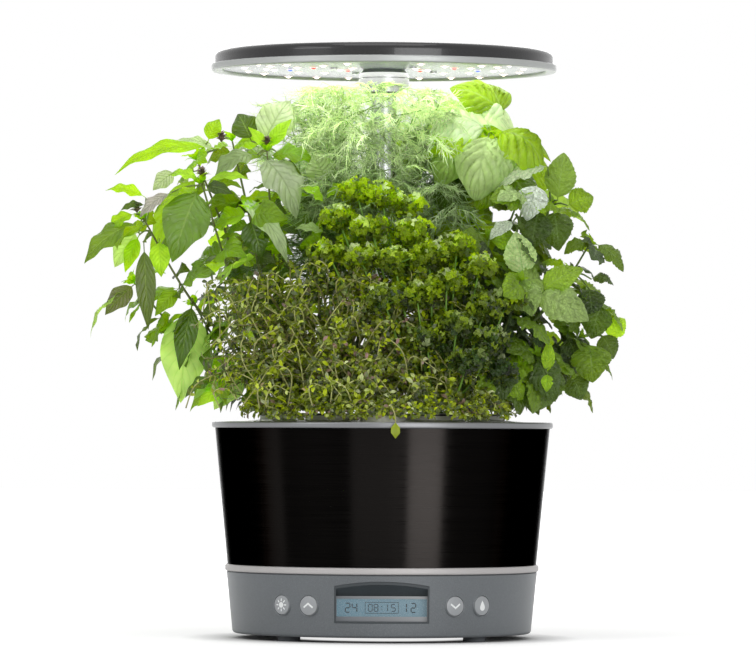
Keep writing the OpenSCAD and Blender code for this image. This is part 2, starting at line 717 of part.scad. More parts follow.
// ---------- lamp ----------

module slider_tube() {
    color([0.78, 0.79, 0.8]) translate([0, 0, slider_foot_z]) tube(slider_r, slider_bore_r, lamp_ring_top_z + 4 - slider_foot_z);
}

module slider_guide() {
    color([0.2, 0.2, 0.2]) translate([0, 0, slider_foot_z]) tube(mast_bore_r - fit, slider_r + 0.02, guide_h);
}

module lamp_hub() {
    color([0.82, 0.83, 0.84]) turned([
        [slider_r + 0.02, hub_ring_z], [hub_neck_r, hub_ring_z], [hub_neck_r, hub_cone_z],
        [hub_r, hub_cone_z], [hub_r, hub_cone_z + 1.5], [16.5, led_board_z - 0.05],
        [11.5, led_board_z - 0.05], [11.5, spreader_top_z + 0.2], [slider_r + 0.02, spreader_top_z + 0.2]]);
}

// A turned ring round the hub's neck and a narrower one below it
module hub_rings() {
    color([0.85, 0.86, 0.87]) {
        translate([0, 0, hub_ring_z]) tube(hub_r, hub_neck_r + 0.02, hub_ring_h);
        turned([
            [slider_r + 0.02, hub_sleeve_z], [14, hub_sleeve_z], [15.2, hub_sleeve_z + 1.2],
            [15.2, hub_ring_z - 0.05], [slider_r + 0.02, hub_ring_z - 0.05]]);
    }
}

module lamp_hood() {
    edge = 5;
    t = 2;
    dome = 2.4;
    under_z = lamp_top_z + dome - t;
    color([0.2, 0.2, 0.21]) union() {
        translate([0, 0, spreader_top_z + 0.3]) tube(15, slider_r + 0.02, under_z - spreader_top_z);
        at_circle(lamp_screw_circle_r, lamp_screw_angles) translate([0, 0, spreader_top_z + 0.02])
            tube(3.4, 1.32, under_z - spreader_top_z);
        hood_shell(edge, t, dome);
    }
}

module hood_shell(edge, t, dome) {
    turned(concat(
        [[lamp_hood_r - t, lamp_ring_top_z], [lamp_hood_r, lamp_ring_top_z]],
        arc([lamp_hood_r - edge, lamp_top_z - edge], edge, 0, 85, 8),
        [[lamp_hood_r * 0.7, lamp_top_z + dome * 0.5], [lamp_hood_r * 0.4, lamp_top_z + dome * 0.85],
         [0, lamp_top_z + dome], [0, lamp_top_z + dome - t],
         [lamp_hood_r * 0.4, lamp_top_z + dome * 0.85 - t], [lamp_hood_r * 0.7, lamp_top_z + dome * 0.5 - t]],
        arc([lamp_hood_r - edge, lamp_top_z - edge], edge - t, 85, 0, 8)));
}

module lamp_screws() {
    color("silver") at_circle(lamp_screw_circle_r, lamp_screw_angles) union() {
        translate([0, 0, led_board_z - 1.4]) cylinder(r = 2.8, h = 1.4);
        translate([0, 0, led_board_z - 0.5]) cylinder(r = 1.3, h = 9);
    }
}

module lamp_ring() {
    lip = 1.4;
    color([0.74, 0.74, 0.74]) turned(concat(
        [[lamp_ring_inner_r, led_board_z]],
        [[lamp_ring_inner_r, lamp_low_z + 1.2], [lamp_ring_inner_r + 1.2, lamp_low_z]],
        arc([lamp_ring_r - lip, lamp_low_z + lip], lip, -90, 0, 4),
        arc([lamp_ring_r - 1, lamp_ring_top_z - 1], 1, 0, 90, 3),
        [[lamp_ring_inner_r + 3, lamp_ring_top_z], [lamp_ring_inner_r + 3, led_board_z]]));
}

// A disc round the hub, drilled for the lamp's screws
module lamp_disc(z, r, t) {
    translate([0, 0, z]) difference() {
        tube(r, 11.6, t);
        at_circle(lamp_screw_circle_r, lamp_screw_angles) translate([0, 0, -1]) cylinder(r = 1.4, h = t + 2);
    }
}

module led_board() {
    color([0.8, 0.82, 0.85]) lamp_disc(led_board_z + 0.02, lamp_ring_inner_r + 2.9, led_board_t);
}

module heat_spreader() {
    color("silver") lamp_disc(led_board_z + led_board_t + 0.04, lamp_ring_inner_r, 1.5);
}

// Low domed lights on the board's underside, at the places given and their mirror places
module leds(places) {
    for (p = places, side = [-1, 1]) translate([side * p.x, p.y, led_board_z]) intersection() {
        translate([0, 0, -1.5]) cylinder(r = led_r, h = 1.5);
        translate([0, 0, 1.1]) sphere(r = led_r + 0.3);
    }
}

module leds_white() { color([1, 0.98, 0.94]) leds(white_lights); }
module leds_red() { color([0.95, 0.25, 0.25]) leds(red_lights); }
module leds_blue() { color([0.25, 0.35, 0.95]) leds(blue_lights); }

// ---------- plants ----------

function unit(v) = v / max(norm(v), 0.001);
function mix(a, b, t) = a + (b - a) * t;
function fraction(x) = x - floor(x);
function radial(v) = [v.x, v.y, 0];

// Point at t, from 0 to 1, on the smooth curve through a shoot's points
function on_shoot(p, t) = let(
        n = len(p) - 1, s = min(t * n, n - 0.001), i = floor(s), f = s - i,
        a = p[max(i - 1, 0)], b = p[i], c = p[i + 1], d = p[min(i + 2, n)])
    0.5 * (2 * b + (c - a) * f + (2 * a - 5 * b + 4 * c - d) * f * f + (3 * b - a - 3 * c + d) * f * f * f);

// The same curve cut into straight links, and a point at t along them
function chain(p, links) = [for (i = [0:links]) on_shoot(p, i / links)];
function on_chain(c, t) = let(n = len(c) - 1, i = floor(min(t * n, n - 0.001))) mix(c[i], c[i + 1], t * n - i);
function axis_at(c, t) = unit(on_chain(c, min(t + 0.03, 1)) - on_chain(c, t - 0.03));

// A shoot's points: from the crown of the plant in pod i, then through the points given
function from_pod(i, k, points) = let(
        foot = pod_pos(i) + (3 + 2.5 * fraction(k * 0.618)) * unit(radial(points[0]) - pod_pos(i)))
    concat([foot + [0, 0, crown_z - 4]], points);

// Distance from the mast's axis to the stretch between two points, seen from above
function mast_distance(a, b) = let(
        p = radial(a), d = radial(b) - p, t = max(0, min(1, -(p * d) / max(d * d, 0.001))))
    norm(p + t * d);

// A leaf tip kept over the deck and under the lamp
function held(p) = [p.x, p.y, max(leaf_low_z, min(leaf_high_z, p.z))];

module bead(r) {
    polyhedron([[r, 0, 0], [0, r, 0], [-r, 0, 0], [0, -r, 0], [0, 0, r], [0, 0, -r]],
        [[1, 0, 4], [2, 1, 4], [3, 2, 4], [0, 3, 4], [0, 1, 5], [1, 2, 5], [2, 3, 5], [3, 0, 5]]);
}

// A three-sided stem that tapers along a chain
module stem(c, r0, r1) {
    n = len(c) - 1;
    sideways = cross(c[n] - c[1], [0.01, 0.02, 1]);
    ring = [for (i = [0:n]) let(
            along = unit(c[min(i + 1, n)] - c[max(i - 1, 0)]),
            s = unit(sideways - along * (sideways * along)), u = cross(along, s))
        each [for (a = [90, 210, 330]) c[i] + mix(r0, r1, i / n) * (s * cos(a) + u * sin(a))]];
    polyhedron(ring, concat([[0, 1, 2]],
        [for (i = [0:n - 1], j = [0:2]) [3 * i + j, 3 * i + j + 3, 3 * i + (j + 1) % 3 + 3]],
        [for (i = [0:n - 1], j = [0:2]) [3 * i + j, 3 * i + (j + 1) % 3 + 3, 3 * i + (j + 1) % 3]],
        [[3 * n + 2, 3 * n + 1, 3 * n]]));
    bud(c[n], unit(c[n] - c[n - 1]), r1);
}

// The growing tip of a stem
module bud(p, along, r) {
    hull() translate(p + along * r * 0.8) bead(r * 2);
}

// The rooted foot of a plant, from inside its sponge up to the crown
module trunk(pod, r) {
    translate(pod_pos(pod) + [0, 0, root_z]) cylinder(r = r, h = crown_z - root_z, $fn = 8);
}

// A thin thread from a point inside a stem out to its tip
module thread(base, tip, r) {
    along = unit(tip - base);
    s = unit(cross(along, [0.3, 0.2, 1]));
    u = cross(along, s);
    polyhedron(concat([for (a = [90, 210, 330]) base + r * (s * cos(a) + u * sin(a))], [tip]),
        [[0, 1, 2], [0, 3, 1], [1, 3, 2], [2, 3, 0]]);
}

// A leaf from base to tip: flat four-cornered sections between two points, bowed towards its upper
// face. Each section is [place along the leaf, half width as a share of the full width].
BROAD = [[0.27, 0.46], [0.62, 0.44]];
SMALL = [[0.42, 0.5]];

module leaf(base, tip, width, bow, sections = BROAD) {
    chord = unit(tip - base);
    hint = unit(radial(base + tip)) + [0, 0, 0.6];
    up = unit(hint - chord * (hint * chord));
    side = cross(chord, up);
    ring = [for (s = sections) let(c = mix(base, tip, s[0]) + up * bow * 4 * s[0] * (1 - s[0]))
        each [c + side * width * s[1], c + up * leaf_t / 2, c - side * width * s[1], c - up * leaf_t / 2]];
    last = len(ring) - 3;
    if (mast_distance(base, tip) > mast_clear_r + width * 0.35)
        polyhedron(concat([base], ring, [tip]), concat(
            [for (i = [0:3]) [0, 1 + (i + 1) % 4, 1 + i]],
            [for (s = [1:4:last - 1], i = [0:3]) [s + i, s + 4 + (i + 1) % 4, s + 4 + i]],
            [for (s = [1:4:last - 1], i = [0:3]) [s + i, s + (i + 1) % 4, s + 4 + (i + 1) % 4]],
            [for (i = [0:3]) [last + 4, last + i, last + (i + 1) % 4]]));
}

// A shoot with opposite leaves, each pair turned a quarter from the last
module leafy_shoot(pod, k, points, pairs, size, ratio, droop, large, sections = BROAD) {
    c = chain(from_pod(pod, k, points), 4);
    stem(c, 1.9, 1);
    for (j = [0:pairs - 1], half = [0, 180]) {
        t = mix(0.5, 0.97, j / (pairs - 1));
        base = on_chain(c, t);
        axis = axis_at(c, t);
        across = unit(cross(axis, [0.2, 1, 0]));
        turn = 37 * k + 90 * j + half;
        out = across * cos(turn) + cross(axis, across) * sin(turn);
        length = size * (0.65 + 0.4 * sin(160 * (j + 0.6) / pairs));
        tip = held(base + length * (unit(out + 0.45 * axis) - [0, 0, droop]));
        leaf(base, tip, length * ratio, length * 0.1, sections);
    }
    for (l = large) if (l[0] == k) leaf(on_chain(c, l[1]), l[2], l[3], l[4]);
}

module plant_thai_basil() {
    color([0.36, 0.52, 0.16]) union() {
        trunk(0, 6);
        for (k = [0:len(thai_basil_shoots) - 1])
            leafy_shoot(0, k, thai_basil_shoots[k], 3, 48, 0.6, 0.5, thai_basil_leaves);
    }
}

// A frond: a bowed rib with fine threads to both sides
module plant_dill() {
    threads = 8;
    color([0.62, 0.76, 0.46]) union() {
        trunk(1, 6);
        for (k = [0:len(dill_fronds) - 1]) dill_frond(chain(from_pod(1, k, dill_fronds[k]), 5), threads);
    }
}

module dill_frond(c, threads) {
    stem(c, 1.4, 0.9);
    for (j = [0:threads - 1]) {
        t = mix(0.46, 0.96, j / (threads - 1));
        base = on_chain(c, t);
        axis = axis_at(c, t);
        across = unit(cross(axis, [0, 0, 1])) * (j % 2 == 0 ? 1 : -1);
        tip = held(base + mix(38, 20, t) * unit(across + 0.6 * axis - [0, 0, 0.3]));
        if (mast_distance(base, tip) > mast_clear_r + 2) thread(base, tip, 0.6);
    }
}

module plant_sweet_basil() {
    color([0.6, 0.78, 0.35]) union() {
        trunk(2, 6);
        for (k = [0:len(sweet_basil_shoots) - 1])
            leafy_shoot(2, k, sweet_basil_shoots[k], 2, 56, 0.74, 0.4, sweet_basil_leaves);
    }
}

// Each stalk ends in a curly head, drawn as the lump that its frilled leaves fill
module plant_parsley() {
    corners = 6;
    color([0.26, 0.45, 0.14]) union() {
        trunk(3, 6.5);
        for (k = [0:len(parsley_heads) - 1]) {
            head = parsley_heads[k];
            knee = mix(pod_pos(3) + [0, 0, crown_z], head, 0.55) - [0, 0, 12] + radial(head) * 0.06;
            stem(chain(from_pod(3, k, [knee, head]), 3), 1.3, 0.8);
            hull() for (j = [0:corners - 1]) {
                a = 60 * j + 25 * k;
                translate(head + [10 * cos(a), 10 * sin(a), j % 2 == 0 ? 5 : -6]) bead(6);
            }
        }
    }
}

// Sprawling wiry stems with pairs of very small leaves
module plant_thyme() {
    color([0.42, 0.5, 0.24]) union() {
        trunk(4, 6.5);
        for (k = [0:thyme_stems - 1]) {
            tip = thyme_tip(k);
            knee = mix(pod_pos(4) + [0, 0, crown_z], tip, 0.5) + [0, 0, 10 + 14 * fraction(k * 0.382)];
            c = chain(from_pod(4, k, [knee, tip]), 4);
            stem(c, 1, 0.6);
            for (j = [1:3]) translate(on_chain(c, mix(0.45, 0.9, j / 3))) rotate([20, 25, 70 * j + 50 * k])
                scale([1, 0.5, 0.4]) bead(6);
        }
    }
}

module plant_mint() {
    color([0.3, 0.46, 0.18]) union() {
        trunk(5, 6);
        for (k = [0:len(mint_shoots) - 1])
            leafy_shoot(5, k, mint_shoots[k], 3, 38, 0.8, 0.4, mint_leaves, SMALL);
    }
}

// ---------- nodes ----------

base_housing();
base_floor();
base_screws();
trim_ring();
display_bezel();
lcd_panel();
display_window();
panel_boards();
tact_switches();
light_button();
up_button();
down_button();
feed_button();
power_jack();
control_board();
board_components();
mast_socket();
bowl();
bowl_sleeve();
bowl_rim();
chimney_tube();
chimney_seal();
pump_housing();
pump_impeller();
pump_cover();
pump_filter();
grow_deck();
level_float();
level_stem();
mast_tube();
mast_plug();
mast_collar();
mast_bush();
slider_tube();
slider_guide();
lamp_hub();
hub_rings();
lamp_hood();
lamp_ring();
led_board();
heat_spreader();
leds_white();
leds_red();
leds_blue();
lamp_screws();
rubber_feet();
pod_collars();
grow_sponges();
for (i = POD_INDEX) pod_basket(i);
plant_thai_basil();
plant_dill();
plant_sweet_basil();
plant_parsley();
plant_thyme();
plant_mint();
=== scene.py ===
import copy
import functools
import json
import math

import bpy
import numpy as np
from mathutils import Matrix, Vector

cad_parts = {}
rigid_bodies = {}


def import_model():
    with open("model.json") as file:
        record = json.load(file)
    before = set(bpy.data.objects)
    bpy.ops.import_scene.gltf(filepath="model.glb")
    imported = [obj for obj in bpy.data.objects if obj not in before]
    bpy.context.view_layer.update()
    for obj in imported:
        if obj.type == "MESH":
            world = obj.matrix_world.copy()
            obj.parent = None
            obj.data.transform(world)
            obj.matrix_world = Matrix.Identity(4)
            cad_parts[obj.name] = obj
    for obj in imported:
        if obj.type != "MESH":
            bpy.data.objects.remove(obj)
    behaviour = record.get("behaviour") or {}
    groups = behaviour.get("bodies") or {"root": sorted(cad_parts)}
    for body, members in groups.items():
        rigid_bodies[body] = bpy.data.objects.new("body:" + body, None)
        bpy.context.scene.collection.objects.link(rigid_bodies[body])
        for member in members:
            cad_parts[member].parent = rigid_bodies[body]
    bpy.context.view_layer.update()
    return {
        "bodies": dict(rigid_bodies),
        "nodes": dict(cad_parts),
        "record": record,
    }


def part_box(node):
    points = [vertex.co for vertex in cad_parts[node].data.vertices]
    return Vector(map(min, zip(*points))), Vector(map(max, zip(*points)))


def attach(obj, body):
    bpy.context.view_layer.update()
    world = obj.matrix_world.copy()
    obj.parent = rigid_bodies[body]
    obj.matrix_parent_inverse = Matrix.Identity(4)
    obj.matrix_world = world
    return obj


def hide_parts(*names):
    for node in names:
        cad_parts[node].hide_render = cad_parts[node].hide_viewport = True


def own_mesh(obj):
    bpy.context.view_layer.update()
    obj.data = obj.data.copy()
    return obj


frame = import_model()
nodes = frame["nodes"]

MM = 0.001
# Steps of this share spread places evenly, however many there are
GOLDEN = 0.618


# ---------- colours and materials ----------

def srgb(red, green, blue):
    """A colour written as 0 to 255 on a screen, as the shader's linear numbers."""
    levels = [((c / 255 + 0.055) / 1.055) ** 2.4 if c > 10 else c / 3295 for c in (red, green, blue)]
    return (*levels, 1)


def shade(colour, factor):
    return tuple(min(c * factor, 1) for c in colour[:3]) + (1,)


class Finish:
    """A procedural material: a Principled shader and the nodes that feed it."""

    def __init__(self, name, roughness=0.5, **constants):
        self.name = name
        self.material = bpy.data.materials.new(name)
        self.material.use_nodes = True
        self.tree = self.material.node_tree
        self.tree.nodes.clear()
        self.shader = self.node("BsdfPrincipled")
        self.output = self.node("OutputMaterial", {"Surface": self.shader.outputs[0]})
        for label, value in {"roughness": roughness, **constants}.items():
            self.feed(label.replace("_", " ").title().replace("Ior", "IOR"), value)

    def put(self, value, socket):
        """Links a node's output to the socket, or sets a plain value there."""
        if isinstance(value, bpy.types.NodeSocket):
            self.tree.links.new(value, socket)
        else:
            socket.default_value = value

    def node(self, kind, inputs=None, **settings):
        made = self.tree.nodes.new("ShaderNode" + kind)
        for label, value in settings.items():
            setattr(made, label, value)
        for label, value in (inputs or {}).items():
            self.put(value, made.inputs[label])
        return made

    def feed(self, label, value):
        self.put(value, self.shader.inputs[label])

    def glow(self, colour, strength):
        self.feed("Emission Color", colour)
        self.feed("Emission Strength", strength)

    def show(self, kind, inputs):
        """Makes a shader node and shows it in place of the Principled shader."""
        self.put(self.node(kind, inputs).outputs[0], self.output.inputs["Surface"])

    def place(self, stretch=(1, 1, 1)):
        where = self.node("TexCoord").outputs["Object"]
        return self.node("Mapping", {"Vector": where, "Scale": stretch}).outputs[0]

    def axes(self, vector=None):
        """The three numbers of a vector, which is the place in the object's frame unless one is given."""
        return self.node("SeparateXYZ", {0: vector or self.place()}).outputs

    def tone(self):
        """Youth (dark to bright), painted light and shade, and the share of the odd colour, which mesh code
        gave a point.
        """
        colour = self.node("Attribute", attribute_name="tone").outputs["Color"]
        return self.node("SeparateColor", {0: colour}).outputs

    def noise(self, scale, detail=2, stretch=(1, 1, 1)):
        inputs = {"Vector": self.place(stretch), "Scale": scale, "Detail": detail}
        return self.node("TexNoise", inputs).outputs["Fac"]

    def math(self, operation, first, second=0.0, third=0.0):
        return self.node("Math", {0: first, 1: second, 2: third}, operation=operation).outputs[0]

    def times(self, first, second):
        return self.math("MULTIPLY", first, second)

    def plus(self, first, second):
        return self.math("ADD", first, second)

    def spread(self, value, low, high, start=0.0, end=1.0):
        """value from start to end, as low to high."""
        inputs = {"Value": value, "From Min": start, "From Max": end, "To Min": low, "To Max": high}
        return self.node("MapRange", inputs).outputs[0]

    def mix(self, share, first, second, blend_type="MIX"):
        made = self.node("Mix", {0: share}, data_type="RGBA", blend_type=blend_type)
        for value, socket in zip((first, second), [s for s in made.inputs if s.type == "RGBA"]):
            self.put(value, socket)
        return [s for s in made.outputs if s.type == "RGBA"][0]

    def bump(self, height, strength, distance):
        inputs = {"Height": height, "Strength": strength, "Distance": distance}
        self.feed("Normal", self.node("Bump", inputs).outputs[0])


def moulded(name, colour, roughness, mottle=0.05, grain=700, depth=0.00005, **constants):
    """Moulded or painted: faint clouds in the colour, a fine grain in the gloss and the surface."""
    made = Finish(name, roughness, **constants)
    cloud = made.noise(30, 3)
    grains = made.noise(grain, 3)
    made.feed("Base Color", made.mix(cloud, shade(colour, 1 - mottle), shade(colour, 1 + mottle)))
    made.feed("Roughness", made.spread(grains, roughness - 0.05, roughness + 0.07, 0.3, 0.7))
    made.bump(grains, 0.3, depth)
    return made


def metal_paint(name):
    """Satin grey paint with a fine metal flake."""
    made = Finish(name, 0.42, metallic=0.35, coat_weight=0.12, coat_roughness=0.3)
    flake = made.noise(2600, 1)
    cloud = made.noise(14, 3)
    body = made.mix(cloud, srgb(95, 99, 102), srgb(106, 111, 115))
    made.feed("Base Color", made.mix(made.spread(flake, 0, 0.35, 0.5, 0.75), body, srgb(168, 172, 176)))
    made.feed("Roughness", made.spread(flake, 0.36, 0.5, 0.3, 0.7))
    made.bump(made.noise(900, 3), 0.15, 0.00003)
    return made


def brushed(name, colour, roughness, lines, contrast=0.3, **constants):
    """Metal brushed or turned round the vertical axis: fine lines that run level round the piece."""
    made = Finish(name, roughness, metallic=1.0, **constants)
    fine = made.noise(lines, 2, stretch=(0.012, 0.012, 1))
    broad = made.noise(lines / 6, 2, stretch=(0.03, 0.03, 1))
    streaks = made.plus(made.times(fine, 0.65), made.times(broad, 0.35))
    made.feed("Base Color", made.mix(made.spread(streaks, 0, 1, 0.35, 0.65),
                                     shade(colour, 1 - contrast), shade(colour, 1 + contrast)))
    made.feed("Roughness", made.spread(streaks, roughness - 0.05, roughness + 0.06, 0.35, 0.65))
    made.bump(streaks, 0.25, 0.00003)
    return made


def brushed_sleeve(name):
    """Near-black metal, whose level brush lines draw each light out into an upright sheen."""
    made = brushed(name, srgb(9.5, 8.5, 8), 0.3, 1500, contrast=0.2, anisotropic=0.9,
                   anisotropic_rotation=0.25, specular_tint=(0.1, 0.1, 0.1, 1))
    made.feed("Tangent", made.node("Tangent", direction_type="RADIAL", axis="Z").outputs[0])
    return made


def circuit_board(name, colour, track):
    """Solder mask with faint tracks under it."""
    made = moulded(name, colour, 0.35, grain=1500, depth=0.00002)
    bricks = made.node("TexBrick", {
        "Vector": made.place(), "Scale": 90, "Mortar Size": 0.03, "Color1": colour,
        "Color2": shade(colour, 0.94), "Mortar": track})
    made.feed("Base Color", bricks.outputs["Color"])
    return made


def foam(name, colour, scale):
    made = Finish(name, 0.95)
    cells = made.node("TexVoronoi", {"Vector": made.place(), "Scale": scale}).outputs["Distance"]
    # Painted shade: each cell is darker towards its middle, in the pits of the foam
    made.feed("Base Color", made.mix(made.spread(cells, 0, 1, 0, 0.5), shade(colour, 0.4), colour))
    made.bump(cells, 0.8, 0.0006)
    return made


def light_cell(name, colour, strength, rim):
    """A lit lens: a bright core and a coloured rim towards its edge."""
    made = Finish(name, 0.2, coat_weight=0.4)
    facing = made.node("LayerWeight", {"Blend": 0.5}).outputs["Facing"]
    tint = made.mix(made.spread(facing, 0, 1, 0.3, 1.0), colour, rim)
    made.feed("Base Color", tint)
    made.glow(tint, strength)
    return made


def led_board_finish(name):
    """White board with printed rings, and a painted glow for the light that its own lights throw on it."""
    made = moulded(name, srgb(186, 190, 192), 0.3, grain=1200, depth=0.00001)
    x, y = made.axes()[:2]
    radius = made.math("SQRT", made.plus(made.times(x, x), made.times(y, y)))
    rings_per_metre = 90
    ring = made.math("PINGPONG", made.times(radius, rings_per_metre), 0.5)
    printed = made.spread(ring, 0.35, 0, 0.0, 0.05)
    made.feed("Base Color", made.mix(printed, srgb(122, 129, 133), srgb(100, 107, 111)))
    # Painted light: a glow, stronger towards the middle of the board, for the light of its LEDs on it
    share = made.spread(radius, 0.55, 0.12, 0.03, 0.125)
    made.glow(made.mix(share, srgb(60, 66, 70), srgb(240, 246, 250)), 0.12)
    return made


def display_face(name):
    """Pale blue-grey liquid-crystal glass with a painted sheen, lighter towards its right, and a faint pixel
    grid.
    """
    made = Finish(name, 0.25, coat_weight=0.3)
    low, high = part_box("lcd_panel")
    x = made.axes()[0]
    pixels_per_metre = 1600
    grid = made.math("PINGPONG", made.times(x, pixels_per_metre), 0.5)
    # Painted sheen: the colour gets lighter from left to right across the face
    body = made.mix(made.spread(x, 0, 1, low.x, high.x), srgb(104, 148, 166), srgb(128, 162, 176))
    made.feed("Base Color", made.mix(made.spread(grid, 0, 0.1, 0.3, 0.5), body, srgb(90, 120, 132)))
    made.glow(body, 0.2)
    return made


def display_glass(name):
    """Clear window: mostly see-through, with a gloss at a shallow angle."""
    made = Finish(name, 0.04, ior=1.45)
    made.feed("Base Color", made.mix(made.noise(300), srgb(200, 210, 214), srgb(215, 222, 226)))
    clear = made.node("BsdfTransparent", {"Color": (1, 1, 1, 1)})
    gloss = made.spread(made.node("Fresnel", {"IOR": 1.45}).outputs[0], 0.06, 0.9)
    made.show("MixShader", {0: gloss, 1: clear.outputs[0], 2: made.shader.outputs[0]})
    return made


def lettering_finish(name, colour, strength=0.0):
    """Ink or paint for digits and icons. strength is how much it glows."""
    made = moulded(name, colour, 0.5, mottle=0.08, grain=2000, depth=0.00001)
    if strength:
        made.glow(made.mix(made.noise(200), colour, shade(colour, 0.92)), strength)
    return made


def leaf_finish(name, dark, bright, odd, vein, kind, gloss=0.42, through=0.42, netting=0.0):
    """A leaf that light comes through. Its tone colours it, and its map, which runs along and across the
    blade, places the veins. A leaf with high painted light is drawn pale and grey, as painted glare, and its
    veins darker than the blade, as painted shade."""
    made = Finish(name, gloss, specular_ior_level=0.6)
    youth, painted_light_and_shade, tint_and_sheen = made.tone()[:3]
    along, over = made.axes(made.node("UVMap", uv_map="leaf").outputs[0])[:2]
    across = made.math("ABSOLUTE", made.math("MULTIPLY_ADD", over, 2.0, third=-1.0))
    slanted = made.math("SUBTRACT", along, made.times(across, kind.slant))
    lateral = made.math("PINGPONG", made.times(slanted, kind.veins), 0.5)
    midrib = made.spread(across, 1, 0, 0.02, 0.07)
    lines = made.math("MAXIMUM", made.spread(lateral, 0.6, 0, 0.0, 0.09), midrib)
    # The odd colour: a real purplish tint on Thai basil and thyme, a painted whitish sheen on sweet basil and
    # mint
    body = made.mix(tint_and_sheen, made.mix(youth, dark, bright), odd)
    patches = made.noise(110, 3)
    # Painted light and shade: the tone's second number sets how light or dark the leaf is drawn, and near 1
    # it also makes the colour pale and grey, as painted glare
    value = made.times(made.spread(painted_light_and_shade, 0.1, 2.4), made.spread(patches, 0.85, 1.15, 0.3, 0.7))
    painted_glare = made.spread(painted_light_and_shade, 0, 1, 0.75, 1.0)
    body = made.node("HueSaturation", {
        "Color": body, "Value": value, "Saturation": made.spread(painted_glare, 1.12, 0.45)}).outputs[0]
    # Painted shade: on such a pale, glaring leaf the veins are drawn darker, as shade in their grooves
    vein = made.mix(made.times(painted_glare, 0.9), vein, dark)
    height = made.math("SUBTRACT", made.spread(lateral, 0, 1, 0, 0.3), made.times(lines, 0.6))
    if netting:
        net = made.node("TexVoronoi", {"Vector": made.place(), "Scale": 420},
                        feature="DISTANCE_TO_EDGE").outputs["Distance"]
        cells = made.spread(net, 0, 1, 0.0, 0.12)
        height = made.plus(height, made.times(cells, 0.8))
        body = made.mix(made.times(made.math("SUBTRACT", 1.0, cells), netting), body, vein)
    body = made.mix(made.times(lines, 0.35), body, vein)
    made.feed("Base Color", body)
    made.feed("Roughness", made.spread(patches, gloss - 0.08, gloss + 0.1, 0.3, 0.7))
    made.bump(made.plus(height, made.times(made.noise(1800, 2), 0.2)), 0.8, 0.0007)
    seen_through = made.mix(0.4, made.mix(0.4, body, bright, "ADD"), srgb(206, 236, 20))
    lit = made.node("BsdfTranslucent", {"Color": seen_through})
    share = made.times(made.spread(youth, 0.35, 1.3), through)
    made.show("MixShader", {0: share, 1: made.shader.outputs[0], 2: lit.outputs[0]})
    return made


def stem_finish(name, pale, dark):
    """A stalk, streaked along its length, paler where young and darker at its foot."""
    made = Finish(name, 0.5)
    streaks = made.noise(500, 3, stretch=(1, 1, 0.15))
    body = made.mix(made.tone()[0], dark, pale)
    made.feed("Base Color", made.mix(made.spread(streaks, 0, 0.4, 0.4, 0.7), body, shade(dark, 0.8)))
    made.bump(streaks, 0.3, 0.0002)
    return made


# ---------- leaf kinds ----------

class Kind:
    """How one plant's leaves are shaped. Lengths are shares of the leaf's length or width. A blade with
    skew under 1 is widest nearer its foot, and one with a small blunt value is rounder at both ends.
    A kind that grows on leafy shoots also has their pairs and smaller fillers of leaves, the size of a
    leaf in mm, its ratio of width to length, its droop, and how young and bright it is."""

    def __init__(self, rows, columns, stalk, skew, blunt, **more):
        self.rows, self.columns, self.stalk, self.skew, self.blunt = rows, columns, stalk, skew, blunt
        defaults = {"point": 0.0, "fold": 0.2, "roll": 0.2, "curl": 0.2, "veins": 5, "slant": 0.35,
                    "bulge": 0.04, "wave": 0.04, "teeth": 0, "tooth": 0.0, "crinkle": 0.0}
        for label, value in {**defaults, **more}.items():
            setattr(self, label, value)

    def outline(self, s):
        """Half width, as a share of the widest, at s from the blade's foot (0) to its tip (1)."""
        shape = np.sin(np.pi * s ** self.skew) ** self.blunt * (1 - self.point * s ** 3)
        if self.teeth:
            saw = s * self.teeth - np.floor(s * self.teeth)
            shape = shape * (1 + self.tooth * (saw - 0.5))
        return shape

    def coarse(self):
        """The same leaf with fewer faces, for where it is small."""
        made = copy.copy(self)
        made.rows, made.columns, made.teeth = 8, 4, 0
        return made


THAI = Kind(18, 8, 0.12, 0.82, 0.72, point=0.5, fold=0.45, roll=0.4, curl=0.35, veins=7, slant=0.3,
            bulge=0.08, wave=0.1, pairs=3, fillers=18, size=48, ratio=0.56, droop=0.5, youth=0.5)
SWEET = Kind(24, 14, 0.1, 0.78, 0.62, point=0.2, fold=0.4, roll=0.9, curl=0.5, veins=5, slant=0.45,
             bulge=0.2, wave=0.05, pairs=2, fillers=14, size=56, ratio=0.72, droop=0.4, youth=0.4)
MINT = Kind(30, 8, 0.08, 0.8, 0.66, point=0.25, fold=0.4, roll=0.5, curl=0.3, veins=6, slant=0.35,
            bulge=0.1, wave=0.07, teeth=10, tooth=0.1, crinkle=0.035, pairs=3, fillers=18, size=38,
            ratio=0.76, droop=0.4, youth=0.25)
TINY = Kind(3, 2, 0.1, 0.9, 0.8, fold=0.4, roll=0.3, veins=1, slant=0.0, bulge=0.0, wave=0.0)
BRACT = Kind(5, 2, 0.02, 0.75, 1.0, point=0.3, fold=0.5, roll=0.0, veins=1, slant=0.0, bulge=0.0, wave=0.0)
CURLY = Kind(2, 12, 0.0, 1, 1, veins=3, slant=0.0)
# How often a blade's edge waves from foot to tip, and how far blades twist, in radians
WAVES_PER_BLADE = 2.5
TWIST = 0.3


# ---------- mesh code ----------

def unit(vector):
    vector = np.asarray(vector, float)
    return vector / max(np.linalg.norm(vector), 1e-9)


def units(vectors):
    return vectors / np.maximum(np.linalg.norm(vectors, axis=-1), 1e-9)[..., None]


def turned_about(axis, vector, angle):
    """vector turned about a unit axis that is square to it."""
    return vector * math.cos(angle) + np.cross(axis, vector) * math.sin(angle)


